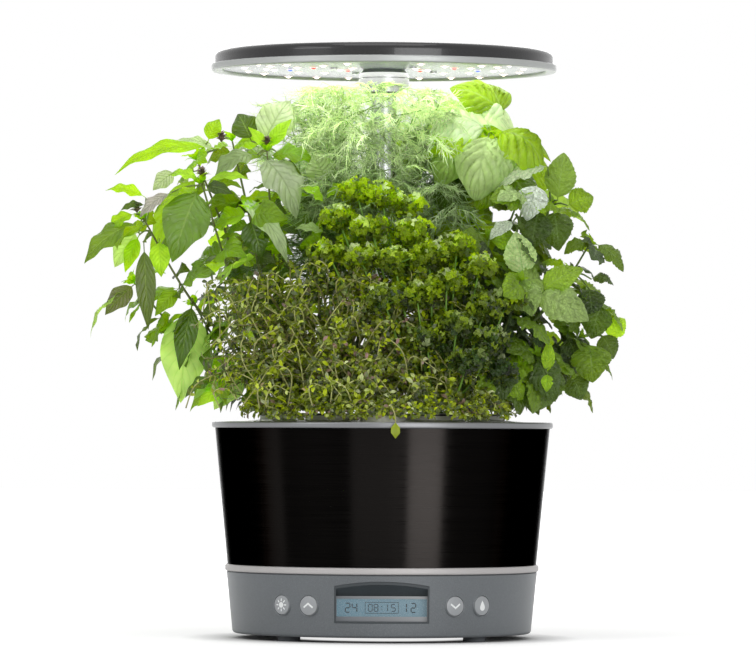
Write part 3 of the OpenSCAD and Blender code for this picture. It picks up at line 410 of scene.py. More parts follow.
@functools.lru_cache
def grid_faces(rows, columns, closed=False):
    """Quads between neighbours in a grid of points; closed joins the last column to the first."""
    index = np.arange(rows * columns).reshape(rows, columns)
    if closed:
        index = np.hstack([index, index[:, :1]])
    corners = [index[:-1, :-1], index[:-1, 1:], index[1:, 1:], index[1:, :-1]]
    return np.stack(corners, -1).reshape(-1, 4)


def in_scene(name, data):
    made = bpy.data.objects.new(name, data)
    bpy.context.scene.collection.objects.link(made)
    return made


class Gathered:
    """Points, faces and per-point values in millimetres, gathered until they become one piece."""

    def __init__(self):
        self.points, self.faces, self.maps, self.tones = [], [], [], []
        self.count = 0

    def add(self, points, faces, maps=None, tone=(0.5, 0.5, 0)):
        points = np.asarray(points, float).reshape(-1, 3)
        for block in faces:
            self.faces.extend((np.asarray(block) + self.count).tolist())
        self.points.append(points)
        self.maps.append(np.full((len(points), 2), 0.5) if maps is None else maps.reshape(-1, 2))
        self.tones.append(np.broadcast_to(tone, (len(points), 3)))
        self.count += len(points)

    def slab(self, front, back):
        """A closed slab between two outlines that have the same number of points."""
        count = len(front)
        walls = [[n, n + count, (n + 1) % count + count, (n + 1) % count] for n in range(count)]
        ends = [list(range(count))], [list(range(count, 2 * count))[::-1]]
        self.add(np.vstack([front, back]), [*ends, walls])

    def piece(self, name, finish, body, slot, replaced=(), smooth=True):
        mesh = bpy.data.meshes.new(name)
        mesh.from_pydata((np.concatenate(self.points) * MM).tolist(), [], self.faces)
        corners = np.array([loop.vertex_index for loop in mesh.loops])
        mesh.uv_layers.new(name="leaf").data.foreach_set("uv", np.concatenate(self.maps)[corners].ravel())
        tones = np.hstack([np.concatenate(self.tones), np.ones((self.count, 1))])
        mesh.attributes.new("tone", "FLOAT_COLOR", "POINT").data.foreach_set("color", tones.ravel())
        mesh.polygons.foreach_set("use_smooth", np.full(len(mesh.polygons), smooth))
        mesh.materials.append(finish.material)
        made = in_scene(name, mesh)
        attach(made, body)
        if replaced:
            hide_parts(*replaced)
        return made


def curve(points, count):
    """count + 1 points on the smooth curve through the given ones."""
    points = np.asarray(points, float)
    last = len(points) - 1
    where = np.minimum(np.linspace(0, last, count + 1), last - 0.001)
    step = where.astype(int)
    f = (where - step)[:, None]
    a, b = points[np.maximum(step - 1, 0)], points[step]
    c, d = points[step + 1], points[np.minimum(step + 2, last)]
    return 0.5 * (2 * b + (c - a) * f + (2 * a - 5 * b + 4 * c - d) * f ** 2
                  + (3 * b - a - 3 * c + d) * f ** 3)


def along_curve(line, t):
    """The point at t, from 0 to 1, and the direction there."""
    place = min(max(t, 0), 0.999) * (len(line) - 1)
    step = int(place)
    return line[step] + (line[step + 1] - line[step]) * (place - step), unit(line[step + 1] - line[step])


def tube(out, line, start_r, end_r, sides, youth):
    """A closed tapered tube along a line of points."""
    line = np.asarray(line, float)
    along = units(np.gradient(line, axis=0))
    hint = unit(np.cross(line[-1] - line[0], [0.31, 0.2, 1.0]))
    side = units(hint - along * (along @ hint)[:, None])
    up = np.cross(along, side)
    angle = np.arange(sides) * 2 * np.pi / sides
    radius = np.linspace(start_r, end_r, len(line))[:, None, None]
    ring = np.cos(angle)[None, :, None] * side[:, None, :] + np.sin(angle)[None, :, None] * up[:, None, :]
    last = (len(line) - 1) * sides
    caps = [[list(range(sides))[::-1]], [list(range(last, last + sides))]]
    faces = [grid_faces(len(line), sides, True), *caps]
    out.add(line[:, None, :] + radius * ring, faces, tone=(youth, 0.5, 0))


def leaf(out, kind, base, tip, width, bow, tone, rng, face=None):
    """A blade on its stalk from base to tip, bowed towards its upper face, folded along its midrib."""
    base, tip = np.asarray(base, float), np.asarray(tip, float)
    along = unit(tip - base)
    length = np.linalg.norm(tip - base)
    if face is None:
        face = unit([*(base + tip)[:2], 0]) + [0, 0, 0.6]
    up = unit(np.asarray(face) - along * (along @ np.asarray(face)))
    side = np.cross(along, up)
    u = np.linspace(0, 1, kind.rows + 1)[:, None]
    v = np.linspace(-1, 1, kind.columns + 1)[None, :]
    s = np.clip((u - kind.stalk) / (1 - kind.stalk), 0, 1)
    half = np.maximum(width / 2 * kind.outline(s), np.where(s < 0.5, 0.4, 0.1))
    middle = np.sin(np.pi * s)
    phase, other = rng.uniform(0, 6.3, 2)
    ripple = np.sin(2 * np.pi * WAVES_PER_BLADE * s + np.where(v > 0, phase, other))
    quilt = np.abs(np.sin(np.pi * kind.veins * (s - kind.slant * np.abs(v)))) - 0.6
    puffed = kind.bulge * quilt * np.sin(np.pi * np.abs(v))
    lift = half * (kind.fold * np.abs(v) - kind.roll * v * v)
    lift = lift + width * middle * (kind.wave * v * v * ripple + puffed)
    if kind.crinkle:
        lift = lift + width * kind.crinkle * middle * rng.normal(0, 1, lift.shape) * (np.abs(v) > 0.05)
    height = bow * 4 * u * (1 - u) - kind.curl * rng.uniform(0.3, 1) * width * s ** 4 + lift
    turn = rng.normal(0, TWIST) * u * u
    over = half * v * np.ones_like(u)
    sideways = over * np.cos(turn)
    upward = height + over * np.sin(turn)
    points = base + along * (length * u)[..., None] + side * sideways[..., None] + up * upward[..., None]
    maps = np.stack([np.broadcast_to(s, over.shape), np.broadcast_to(v / 2 + 0.5, over.shape)], -1)
    out.add(points, [grid_faces(kind.rows + 1, kind.columns + 1)], maps, tone)


def fine_threads(out, base, bend, tip, radius, tone):
    """Many tapering threads at once, each through three points, from arrays of those points."""
    side = units(np.cross(tip - base, [0.3, 0.2, 1.0]))
    up = units(np.cross(tip - base, side))
    corners = [side * math.cos(a) + up * math.sin(a) for a in np.arange(3) * 2 * math.pi / 3]
    rings = [base + radius * c for c in corners] + [bend + 0.75 * radius * c for c in corners]
    first = (7 * np.arange(len(base)))[:, None]
    quads = np.concatenate([first + [n, (n + 1) % 3, (n + 1) % 3 + 3, n + 3] for n in range(3)])
    ends = np.concatenate([first + [n + 3, (n + 1) % 3 + 3, 6] for n in range(3)])
    out.add(np.stack([*rings, tip], 1), [quads, ends], tone=np.repeat(tone, 7, axis=0))


def fine_curls(out, centre, outward, size, tone, rng):
    """Many small fans of leaf at once, each with a ruffled edge."""
    count = len(centre)
    r = np.linspace(0.08, 1, CURLY.rows + 1)[None, :, None]
    a = np.linspace(-2.5, 2.5, CURLY.columns + 1)[None, None, :]
    phase = rng.uniform(0, 6.3, (count, 1, 1))
    radius = size[:, None, None] * r * (0.7 + 0.3 * np.abs(np.cos(1.4 * a + phase)))
    lift = size[:, None, None] * r ** 2 * (0.45 * np.sin(5 * a + 2 * phase) - 0.35)
    side = units(np.cross(outward, rng.normal(0, 1, (count, 3))))
    ahead = np.cross(outward, side)
    points = centre[:, None, None, :] + (radius * np.cos(a))[..., None] * side[:, None, None, :]
    points = points + (radius * np.sin(a))[..., None] * ahead[:, None, None, :]
    points = points + lift[..., None] * outward[:, None, None, :]
    per_fan = (CURLY.rows + 1) * (CURLY.columns + 1)
    faces = grid_faces(CURLY.rows + 1, CURLY.columns + 1)[None] + (per_fan * np.arange(count))[:, None, None]
    maps = np.stack([np.broadcast_to(r, radius.shape), np.broadcast_to(a / 5 + 0.5, radius.shape)], -1)
    out.add(points, [faces.reshape(-1, 4)], maps, np.repeat(tone, per_fan, axis=0))


# ---------- plants ----------

# Millimetres, and degrees for the pods, as in the part's own source: the pods and crowns, how low and high
# leaves reach, and how near to the mast. Dill threads keep as far off as a leaf that is DILL_CLEAR wide.
POD_CIRCLE = 75
POD_ANGLES = {"thai_basil": 180, "dill": 120, "sweet_basil": 60, "mint": 0, "parsley": 300, "thyme": 240}
CROWN_Z = 186
LEAF_LOW_Z = 183
LEAF_HIGH_Z = 441
MAST_CLEAR = 20.5
DILL_CLEAR = 3.5

# The colours of each plant's dark, bright and odd leaves, and of its veins. The odd colour is a purplish tint
# on Thai basil and thyme, and a painted whitish sheen on sweet basil and mint
LEAF_COLOURS = {
    "thai_basil": [(34, 64, 18), (158, 202, 34), (150, 120, 130), (176, 204, 108)],
    "sweet_basil": [(70, 108, 28), (190, 218, 76), (206, 226, 190), (190, 218, 140)],
    "mint": [(32, 56, 18), (164, 204, 34), (188, 204, 186), (150, 180, 110)],
    "dill": [(116, 146, 92), (224, 232, 200), (200, 210, 180), (176, 204, 130)],
    "parsley": [(38, 62, 12), (184, 208, 44), (160, 190, 120), (120, 170, 60)],
    "thyme": [(60, 76, 28), (196, 210, 70), (140, 108, 108), (150, 170, 90)]}
# The colours of its stems, where they are young and at the foot
STEM_COLOURS = {
    "thai_basil": [(140, 168, 70), (92, 70, 62)],
    "sweet_basil": [(170, 196, 110), (120, 150, 70)],
    "mint": [(128, 160, 70), (84, 88, 52)],
    "dill": [(150, 184, 90), (110, 146, 60)],
    "parsley": [(130, 176, 60), (80, 120, 40)],
    "thyme": [(214, 218, 140), (110, 96, 56)]}


class Plant:
    """What grows in one pod, with random numbers of its own, on a woody foot out of its sponge."""

    def __init__(self, name, seed, foot_radius=6):
        self.name = name
        self.rng = np.random.default_rng(seed)
        self.leaves, self.stems = Gathered(), Gathered()
        angle = math.radians(POD_ANGLES[name])
        self.pod = np.array([POD_CIRCLE * math.cos(angle), POD_CIRCLE * math.sin(angle), 0])
        foot = [self.pod + [0, 0, z] for z in (174, 180, 186, 191)]
        tube(self.stems, foot, foot_radius, foot_radius / 2, 9, 0)

    def from_crown(self, k, points):
        """The points of shoot k, from the crown of the plant."""
        first = np.array(points[0], float) * [1, 1, 0] - self.pod
        foot = self.pod + (3 + 2.5 * (k * GOLDEN % 1)) * unit(first)
        return [foot + [0, 0, CROWN_Z - 8]] + [np.array(p, float) for p in points]

    def finish(self, kind, **look):
        """The plant's two pieces, which stand for its solid."""
        slot = "leaf_" + self.name
        leaf_look = leaf_finish(slot, *(srgb(*c) for c in LEAF_COLOURS[self.name]), kind, **look)
        stem_look = stem_finish("stem_" + self.name, *(srgb(*c) for c in STEM_COLOURS[self.name]))
        for part, gathered, surface in (("leaves", self.leaves, leaf_look), ("stems", self.stems, stem_look)):
            made = gathered.piece(f"{self.name}_{part}", surface, "deck", slot, ("plant_" + self.name,))
            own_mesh(made)


def held(point):
    """A tip kept over the deck and under the lamp."""
    return np.array([point[0], point[1], min(max(point[2], LEAF_LOW_Z), LEAF_HIGH_Z)])


def free_of_mast(a, b, width):
    """Whether a leaf or thread from a to b, as wide as that, stays off the mast."""
    start, run = np.asarray(a, float)[:2], (np.asarray(b, float) - a)[:2]
    t = min(max(-(start @ run) / max(run @ run, 1e-6), 0), 1)
    return np.linalg.norm(start + run * t) > MAST_CLEAR + 0.35 * width


def leafy_shoot(plant, kind, line, k):
    """The solid's own pairs of opposite leaves, each turned a quarter from the last, smaller leaves between
    and below them, painted darker as shade, and a small rosette on top."""
    rng = plant.rng
    tube(plant.stems, line, 1.7, 0.7, 7, 0.4 + 0.4 * rng.random())
    for j in range(kind.pairs):
        t = 0.5 + 0.47 * j / (kind.pairs - 1)
        length = kind.size * (0.65 + 0.4 * math.sin(math.radians(160) * (j + 0.6) / kind.pairs))
        for half in (0, math.pi):
            turn = math.radians(37 * k + 90 * j) + half + rng.normal(0, 0.06)
            tone = (kind.youth + 0.5 * (t - 0.6) + rng.normal(0, 0.18), rng.uniform(0.3, 0.85), 0)
            shoot_leaf(plant, kind, along_curve(line, t), turn, length, tone)
    for n in range(kind.fillers):
        t = 0.16 + 0.78 * (n + rng.random()) / kind.fillers
        # Painted shade: the fillers get a lower youth and lightness than the pairs
        tone = (kind.youth - 0.35 + 0.6 * (t - 0.5) + rng.normal(0, 0.15), rng.uniform(0, 0.5), 0)
        length = kind.size * rng.uniform(0.4, 0.7)
        shoot_leaf(plant, kind.coarse(), along_curve(line, t), 2.4 * n + k, length, tone)
    young = (min(kind.youth + 0.5, 1), 0.6, 0)
    rosette(plant, kind, *along_curve(line, 0.995), 6, kind.size * 0.3, young)


def shoot_leaf(plant, kind, spot, turn, length, tone):
    """One leaf that grows from a shoot, kept off the mast."""
    base, axis = spot
    across = unit(np.cross(axis, [0.2, 1, 0]))
    outward = turned_about(axis, across, turn)
    fall = kind.droop * plant.rng.uniform(0.85, 1.15)
    tip = held(base + length * (unit(outward + 0.45 * axis) - [0, 0, fall]))
    width = length * kind.ratio
    if free_of_mast(base, tip, width):
        bow = length * plant.rng.uniform(0.06, 0.14)
        leaf(plant.leaves, kind, base, tip, width, bow, np.clip(tone, 0, 1), plant.rng)


def rosette(plant, kind, centre, axis, count, length, tone, spread=0.7):
    """Small leaves or bracts round a growing tip."""
    rng = plant.rng
    across = unit(np.cross(axis, [0.3, 1, 0.1]))
    for n in range(count):
        outward = turned_about(axis, across, n * 2.4 + rng.normal(0, 0.2))
        reach = length * rng.uniform(0.7, 1.1)
        tip = centre + reach * unit(axis * rng.uniform(0.4, 1.2) + spread * outward)
        if tip[2] <= LEAF_HIGH_Z + 3:
            leaf(plant.leaves, kind, centre, tip, reach * 0.5, reach * 0.12, tone, rng, axis - 0.3 * outward)


def set_leaves(plant, kind, lines, rows):
    """Leaves at listed places, each on a stalk from the nearest shoot.
    A row is base, tip, width, bow, tone and, where that isn't the front, the way that the leaf faces."""
    spots = np.concatenate(lines)
    for base, tip, width, bow, tone, *face in rows:
        base = np.array(base, float)
        near = spots[np.argmin(np.linalg.norm(spots - base, axis=1))]
        if np.linalg.norm(near - base) > 3:
            knee = (near + base) / 2 + [0, 0, 2]
            tube(plant.stems, curve([near, knee, base], 5), 0.9, 0.6, 5, 0.7)
        leaf(plant.leaves, kind, base, tip, width, bow, tone, plant.rng, *(face or [FRONT]))


FRONT = (0, -1, 0.35)
FRONT_UP = (0, -0.8, 1)

THAI_SHOOTS = [
    [[-80, -8, 230], [-88, -14, 310], [-93, -16, 388]],
    [[-95, -12, 225], [-122, -24, 290], [-144, -32, 360]],
    [[-100, -6, 215], [-150, -18, 265], [-190, -26, 332]],
    [[-92, 6, 240], [-125, 16, 320], [-150, 22, 382]],
    [[-84, 10, 240], [-106, 26, 330], [-122, 34, 398]],
    [[-108, 2, 205], [-160, 0, 240], [-198, -8, 282]],
    [[-104, 8, 205], [-132, 10, 235], [-150, 8, 264]],
    [[-94, -10, 196], [-106, -22, 208], [-116, -26, 216]],
    [[-86, 20, 230], [-110, 50, 290], [-128, 72, 335]],
    [[-84, -20, 230], [-98, -38, 290], [-106, -48, 338]],
    [[-66, -6, 240], [-58, -8, 310], [-52, -8, 352]],
    [[-80, 24, 240], [-84, 60, 310], [-86, 84, 350]]]
# Rows for set_leaves, here and in the tables below. In each tone the second number is painted light and
# shade: high where a leaf is lit, low where it is in shade
THAI_LEAVES = [
    [(-134, -4, 390), (-216, -2, 372), 19, 12, (0.85, 0.7, 0), FRONT_UP],
    [(-134, 8, 390), (-169, 14, 399), 13, 4, (0.7, 1, 0.1), FRONT_UP],
    [(-141, 4, 396), (-132, 8, 416), 15, 3, (0.8, 0.6, 0)],
    [(-97, -4, 393), (-76, 2, 432), 32, 4, (0.5, 1, 0.15)],
    [(-106, 8, 397), (-117, 12, 421), 24, 2, (0.1, 0.3, 0)],
    [(-92, -10, 391), (-74, -16, 414), 13, 3, (0.9, 0.8, 0)],
    [(-94, -12, 391), (-107, -20, 407), 9, 2, (0.9, 0.8, 0)],
    [(-101, -16, 385), (-138, -32, 363), 26, 9, (0.25, 0.9, 0.1), FRONT_UP],
    [(-98, -20, 384), (-66, -46, 340), 36, 6, (0.3, 1, 0.1), (0.4, -1, 0.8)],
    [(-86, -12, 388), (-57, -16, 380), 17, 4, (0.85, 0.7, 0), FRONT_UP],
    [(-146, -36, 359), (-167, -60, 302), 40, 4, (0.15, 0.8, 0)],
    [(-146, -34, 364), (-172, -34, 369), 15, 4, (0.9, 0.8, 0), FRONT_UP],
    [(-141, -34, 363), (-107, -42, 366), 11, 4, (0.85, 0.8, 0), FRONT_UP],
    [(-142, -37, 360), (-120, -46, 354), 12, 2, (0.1, 0.2, 0)],
    [(-118, -40, 352), (-74, -54, 300), 20, 10, (0.6, 1, 0.1), (0.5, -1, 0.6)],
    [(-106, -46, 334), (-96, -54, 303), 24, 3, (0.1, 0.4, 0)],
    [(-189, -24, 350), (-221, -24, 358), 15, 4, (0.9, 0.7, 0), FRONT_UP],
    [(-189, -27, 344), (-209, -30, 342), 9, 2, (0.1, 0.3, 0), FRONT_UP],
    [(-197, -28, 337), (-220, -30, 324), 15, 4, (0.85, 0.6, 0), FRONT_UP],
    [(-193, -30, 331), (-239, -36, 300), 23, 6, (0.3, 0.4, 0), FRONT_UP],
    [(-195, -26, 324), (-214, -28, 295), 22, 4, (0.75, 0.9, 0.05)],
    [(-194, -34, 320), (-205, -40, 291), 13, 3, (0.9, 0.7, 0)],
    [(-168, -38, 354), (-194, -42, 335), 13, 3, (0.2, 1, 0.8), FRONT_UP],
    [(-166, -16, 372), (-184, -20, 357), 15, 2, (0.5, 1, 0.25)],
    [(-190, -40, 314), (-186, -46, 245), 17, 5, (0.12, 0.3, 0.15)],
    [(-178, -34, 317), (-176, -40, 287), 18, 3, (0.95, 0.8, 0)],
    [(-162, -30, 278), (-181, -38, 257), 15, 4, (0.5, 0.6, 0)],
    [(-153, -6, 266), (-162, -12, 188), 42, 8, (0.95, 0.9, 0)],
    # Painted shade: a dark leaf in front of the big bright one, which stands for the shadow that falls on it
    [(-151, -26, 268), (-162, -34, 214), 20, 4, (0.15, 0.4, 0)],
    [(-121, -22, 208), (-151, -30, 191), 18, 4, (0.95, 0.9, 0), FRONT_UP],
    [(-121, -28, 204), (-147, -36, 185), 15, 3, (0.9, 0.8, 0)],
    [(-112, -26, 214), (-134, -34, 183), 26, 3, (0.9, 0.9, 0)],
    [(-130, -32, 208), (-158, -36, 194), 14, 3, (0.15, 0.4, 0), FRONT_UP],
    [(-122, -14, 226), (-136, -18, 209), 15, 2, (0.9, 0.7, 0)],
    [(-109, -58, 200), (-88, -74, 183), 13, 3, (0.2, 0.5, 0)],
    [(-46, -46, 322), (-70, -50, 326), 12, 3, (0.5, 0.9, 0.1), FRONT_UP],
    [(-47, -36, 346), (-64, -44, 359), 15, 3, (0.85, 0.8, 0), FRONT_UP],
    [(-46, -38, 348), (-29, -46, 363), 12, 3, (0.8, 0.7, 0), FRONT_UP],
    [(-46, -24, 362), (-55, -26, 386), 26, 2, (0.4, 0.9, 0.1)],
    [(-198, -8, 282), (-222, -14, 258), 18, 3, (0.15, 0.3, 0.5)],
    [(-146, 20, 372), (-190, 12, 306), 26, 6, (0.6, 0.6, 0), FRONT_UP]]
THAI_BUDS = [(-93, -14, 392), (-144, -34, 366), (-196, -28, 338), (-130, 2, 396)]

SWEET_SHOOTS = [
    [[44, 62, 260], [58, 56, 360], [70, 46, 422]],
    [[48, 66, 250], [76, 68, 330], [94, 62, 385]],
    [[40, 60, 260], [48, 50, 340], [54, 40, 392]],
    [[56, 64, 240], [92, 58, 310], [112, 46, 360]],
    [[38, 76, 250], [50, 98, 330], [60, 110, 390]],
    [[34, 72, 250], [26, 90, 330], [18, 102, 370]],
    [[50, 80, 230], [76, 104, 280], [94, 110, 316]],
    [[44, 58, 240], [60, 32, 300], [72, 14, 330]],
    [[50, 50, 262], [74, 26, 340], [84, -2, 402]]]
SWEET_LEAVES = [
    [(60, 30, 414), (97, 2, 422), 54, 17, (0.6, 1, 0), (0, -0.5, 1)],
    [(84, -4, 404), (37, 4, 412), 44, 12, (0.5, 1, 0.2), FRONT_UP],
    [(84, -2, 405), (70, 14, 434), 38, 6, (0.6, 1, 0.2)],
    [(84, -10, 403), (73, -34, 354), 46, 10, (0.4, 0.9, 0.05)],
    [(88, -10, 402), (94, -30, 360), 34, 8, (0.4, 0.9, 0.05), (0.4, -1, 0.4)],
    [(88, -6, 404), (130, -16, 375), 42, 13, (0.55, 0.6, 0), (0.4, -0.8, 0.9)],
    [(60, 0, 398), (30, -8, 389), 24, 6, (0.4, 0.7, 0.05), FRONT_UP],
    [(90, -14, 362), (74, -22, 344), 20, 4, (0.3, 0.5, 0)],
    [(64, 2, 396), (44, -14, 366), 34, 9, (0.3, 0.8, 0.1)],
    [(100, -4, 372), (118, -14, 346), 30, 7, (0.2, 0.3, 0)],
    [(56, 8, 372), (50, -10, 342), 30, 6, (0.1, 0.2, 0)],
    [(70, 46, 422), (102, 40, 412), 46, 14, (0.8, 0.7, 0), (0, -0.3, 1)],
    [(70, 46, 422), (42, 26, 408), 46, 14, (0.7, 0.9, 0), (0, -0.3, 1)],
    [(70, 46, 422), (84, 86, 406), 46, 10, (0.7, 0.7, 0), (0, 0.3, 1)],
    [(70, 46, 420), (30, 76, 408), 42, 10, (0.7, 0.7, 0), (0, 0.3, 1)],
    [(94, 62, 385), (132, 36, 366), 44, 12, (0.5, 0.5, 0), FRONT_UP],
    [(92, 6, 424), (58, -4, 443), 34, 5, (0.45, 0.6, 0), (0, -1, 0.4)],
    [(96, 10, 420), (84, 16, 446), 26, 4, (0.4, 0.4, 0)]]

MINT_SHOOTS = [
    [[84, 4, 240], [112, 8, 290], [134, 6, 346]],
    [[82, -10, 240], [100, -24, 300], [112, -34, 350]],
    [[84, -22, 215], [98, -46, 250], [108, -62, 284]],
    [[94, -2, 225], [136, -8, 270], [164, -12, 314]],
    [[98, 4, 205], [140, 6, 235], [168, 4, 268]],
    [[96, -8, 200], [130, -18, 218], [156, -22, 240]],
    [[88, -18, 200], [108, -38, 212], [120, -52, 226]],
    [[80, -22, 200], [88, -46, 208], [94, -62, 216]],
    [[84, 22, 230], [104, 48, 275], [120, 62, 312]],
    [[86, 24, 205], [108, 58, 222], [118, 80, 240]],
    [[92, 14, 225], [128, 30, 262], [150, 38, 292]],
    [[70, -14, 230], [76, -30, 280], [84, -44, 318]],
    [[98, 10, 198], [132, 24, 210], [150, 30, 226]]]
MINT_LEAVES = [
    [(139, -8, 350), (144, -6, 389), 26, 3, (0.35, 0.6, 0.1)],
    [(147, -10, 346), (168, -6, 354), 23, 3, (0.5, 0.6, 0)],
    [(131, -14, 377), (90, -26, 361), 17, 5, (0.7, 1, 0.2), FRONT_UP],
    [(122, -30, 362), (114, -38, 334), 26, 4, (0.3, 1, 0.8)],
    [(124, -24, 342), (117, -30, 312), 28, 4, (0.1, 0.4, 0)],
    [(136, -20, 342), (140, -28, 311), 28, 4, (0.12, 0.5, 0)],
    [(170, -12, 315), (193, -16, 295), 16, 4, (0.2, 0.5, 0), FRONT_UP],
    [(164, -14, 316), (144, -20, 310), 16, 3, (0.3, 0.6, 0), FRONT_UP],
    [(103, -44, 332), (84, -52, 318), 14, 3, (0.4, 1, 0.5), FRONT_UP],
    [(111, -54, 288), (105, -52, 324), 27, 3, (1, 0.95, 0)],
    [(110, -56, 288), (94, -60, 280), 14, 2, (1, 0.8, 0)],
    [(112, -56, 287), (118, -62, 257), 22, 3, (0.6, 0.9, 0)],
    [(122, -52, 275), (163, -58, 255), 32, 5, (0.5, 0.9, 0)],
    [(124, -50, 277), (158, -50, 296), 22, 4, (0.5, 0.8, 0)],
    [(166, -16, 287), (184, -18, 284), 15, 4, (0.1, 0.3, 0), FRONT_UP],
    [(164, -14, 280), (167, -18, 258), 24, 3, (0.05, 0.3, 0)],
    [(174, -12, 267), (166, -18, 240), 26, 4, (0.15, 0.6, 0)],
    [(179, -8, 241), (193, -6, 257), 19, 3, (1, 0.8, 0)],
    [(174, -12, 243), (185, -12, 224), 19, 3, (0.1, 0.5, 0)],
    [(164, -28, 236), (167, -36, 206), 33, 4, (0.3, 0.6, 0)],
    [(150, -20, 210), (159, -24, 192), 22, 3, (0.1, 0.6, 0)],
    [(147, -20, 240), (154, -26, 224), 20, 3, (0.05, 0.3, 0)],
    [(79, -62, 220), (112, -72, 194), 36, 4, (0.5, 0.7, 0), FRONT_UP],
    [(126, -48, 222), (118, -60, 183), 46, 5, (0.15, 0.6, 0)],
    [(130, -64, 212), (131, -62, 237), 11, 2, (0.9, 0.8, 0)],
    [(130, -66, 211), (129, -70, 197), 10, 2, (1, 0.8, 0)],
    [(111, -62, 212), (111, -60, 237), 9, 2, (0.8, 0.7, 0)],
    [(112, -34, 350), (92, -54, 352), 24, 4, (0.6, 0.9, 0.1), FRONT_UP],
    [(120, -52, 226), (136, -70, 192), 28, 5, (0.1, 0.4, 0)],
    [(94, -62, 216), (92, -86, 192), 28, 5, (0.1, 0.3, 0)]]

DILL_FRONDS = [
    [[-50, 60, 300], [-62, 50, 400], [-78, 36, 425]],
    [[-42, 62, 310], [-46, 48, 415], [-54, 18, 434]],
    [[-38, 60, 320], [-34, 44, 420], [-32, 12, 438]],
    [[-36, 50, 310], [-38, 10, 410], [-10, -34, 428]],
    [[-34, 46, 300], [-40, 0, 390], [-6, -42, 392]],
    [[-20, 66, 310], [8, 60, 410], [36, 36, 434]],
    [[-18, 64, 300], [20, 52, 390], [52, 20, 405]],
    [[-16, 60, 290], [30, 44, 360], [66, 10, 362]],
    [[-14, 60, 280], [32, 34, 350], [52, -16, 340]],
    [[-38, 80, 300], [-42, 100, 390], [-50, 120, 410]],
    [[-24, 84, 300], [-10, 104, 400], [2, 122, 416]],
    [[-56, 74, 290], [-80, 80, 370], [-102, 86, 392]],
    [[-30, 52, 290], [-42, 8, 350], [-24, -42, 345]],
    [[-34, 44, 280], [-44, -10, 340], [10, -50, 338]]]
# Thin fronds that lean round the mast, in front of it
DILL_FRONT = [
    [[-34, 48, 310], [-36, 14, 400], [8, -34, 432]],
    [[-34, 46, 300], [-34, 4, 396], [30, -40, 420]],
    [[-16, 62, 310], [30, 34, 400], [44, -20, 426]],
    [[-16, 60, 300], [34, 30, 380], [42, -34, 396]],
    [[-34, 44, 290], [-38, -6, 360], [18, -48, 374]],
    [[-14, 60, 290], [36, 26, 350], [46, -34, 362]],
    [[-32, 46, 290], [-40, 0, 350], [-26, -46, 376]],
    [[-16, 62, 300], [24, 44, 400], [66, 0, 420]],
    [[-34, 44, 300], [-38, 0, 404], [4, -30, 424]],
    [[-34, 46, 290], [-38, -4, 382], [6, -34, 404]],
    [[-16, 62, 300], [34, 22, 388], [4, -36, 388]],
    [[-34, 42, 280], [-40, -8, 350], [8, -36, 364]]]
PARSLEY_HEADS = [
    [-22, -54, 356], [-2, -60, 352], [18, -62, 344], [-36, -60, 334], [-10, -74, 326],
    [24, -74, 324], [-44, -72, 306], [-18, -86, 302], [8, -88, 300], [36, -84, 304],
    [58, -72, 312], [76, -76, 296], [50, -92, 282], [26, -98, 274], [0, -98, 270],
    [80, -88, 264], [98, -70, 268], [58, -104, 250], [86, -96, 238], [66, -108, 220],
    [30, -46, 310], [54, -46, 288], [34, -104, 240], [92, -80, 214]]


def leafy_plant(name, seed, kind, shoots, rows):
    made = Plant(name, seed)
    lines = [curve(made.from_crown(k, points), 16) for k, points in enumerate(shoots)]
    for k, line in enumerate(lines):
        leafy_shoot(made, kind, line, k)
    set_leaves(made, kind, lines, rows)
    return made


def make_thai_basil():
    """Its shoots end in tapering clusters of purple-grey bracts."""
    plant = leafy_plant("thai_basil", 11, THAI, THAI_SHOOTS, THAI_LEAVES)
    for spot in THAI_BUDS:
        for level in range(3):
            centre = np.array(spot, float) + [0, 0, 2.5 * level]
            rosette(plant, BRACT, centre, np.array([0, -0.3, 1.0]), 9, 8 - 1.5 * level, (0, 0.4, 1), 1.0)
    plant.finish(THAI, gloss=0.32, through=0.46)


def make_sweet_basil():
    leafy_plant("sweet_basil", 12, SWEET, SWEET_SHOOTS, SWEET_LEAVES).finish(SWEET, gloss=0.28)


def make_mint():
    plant = leafy_plant("mint", 13, MINT, MINT_SHOOTS, MINT_LEAVES)
    plant.finish(MINT, gloss=0.36, through=0.32, netting=0.3)


def make_dill():
    """Feathery fronds: each of the solid's and each front one, with two thinner ones beside it. All have
    side ribs and threads."""
    plant = Plant("dill", 14)
    for k, points in enumerate(DILL_FRONDS + DILL_FRONT):
        for beside in range(3):
            aside = plant.rng.normal(0, 9, (3, 3)) * min(beside, 1)
            line = curve([held(p) for p in plant.from_crown(k + 5 * beside, np.array(points) + aside)], 20)
            if k < len(DILL_FRONDS) or beside == 0:
                tube(plant.stems, line, 1.2 - 0.25 * beside, 0.3, 5, 0.7)
            dill_ribs(plant, line)
    plant.finish(TINY, gloss=0.5, through=0.3)


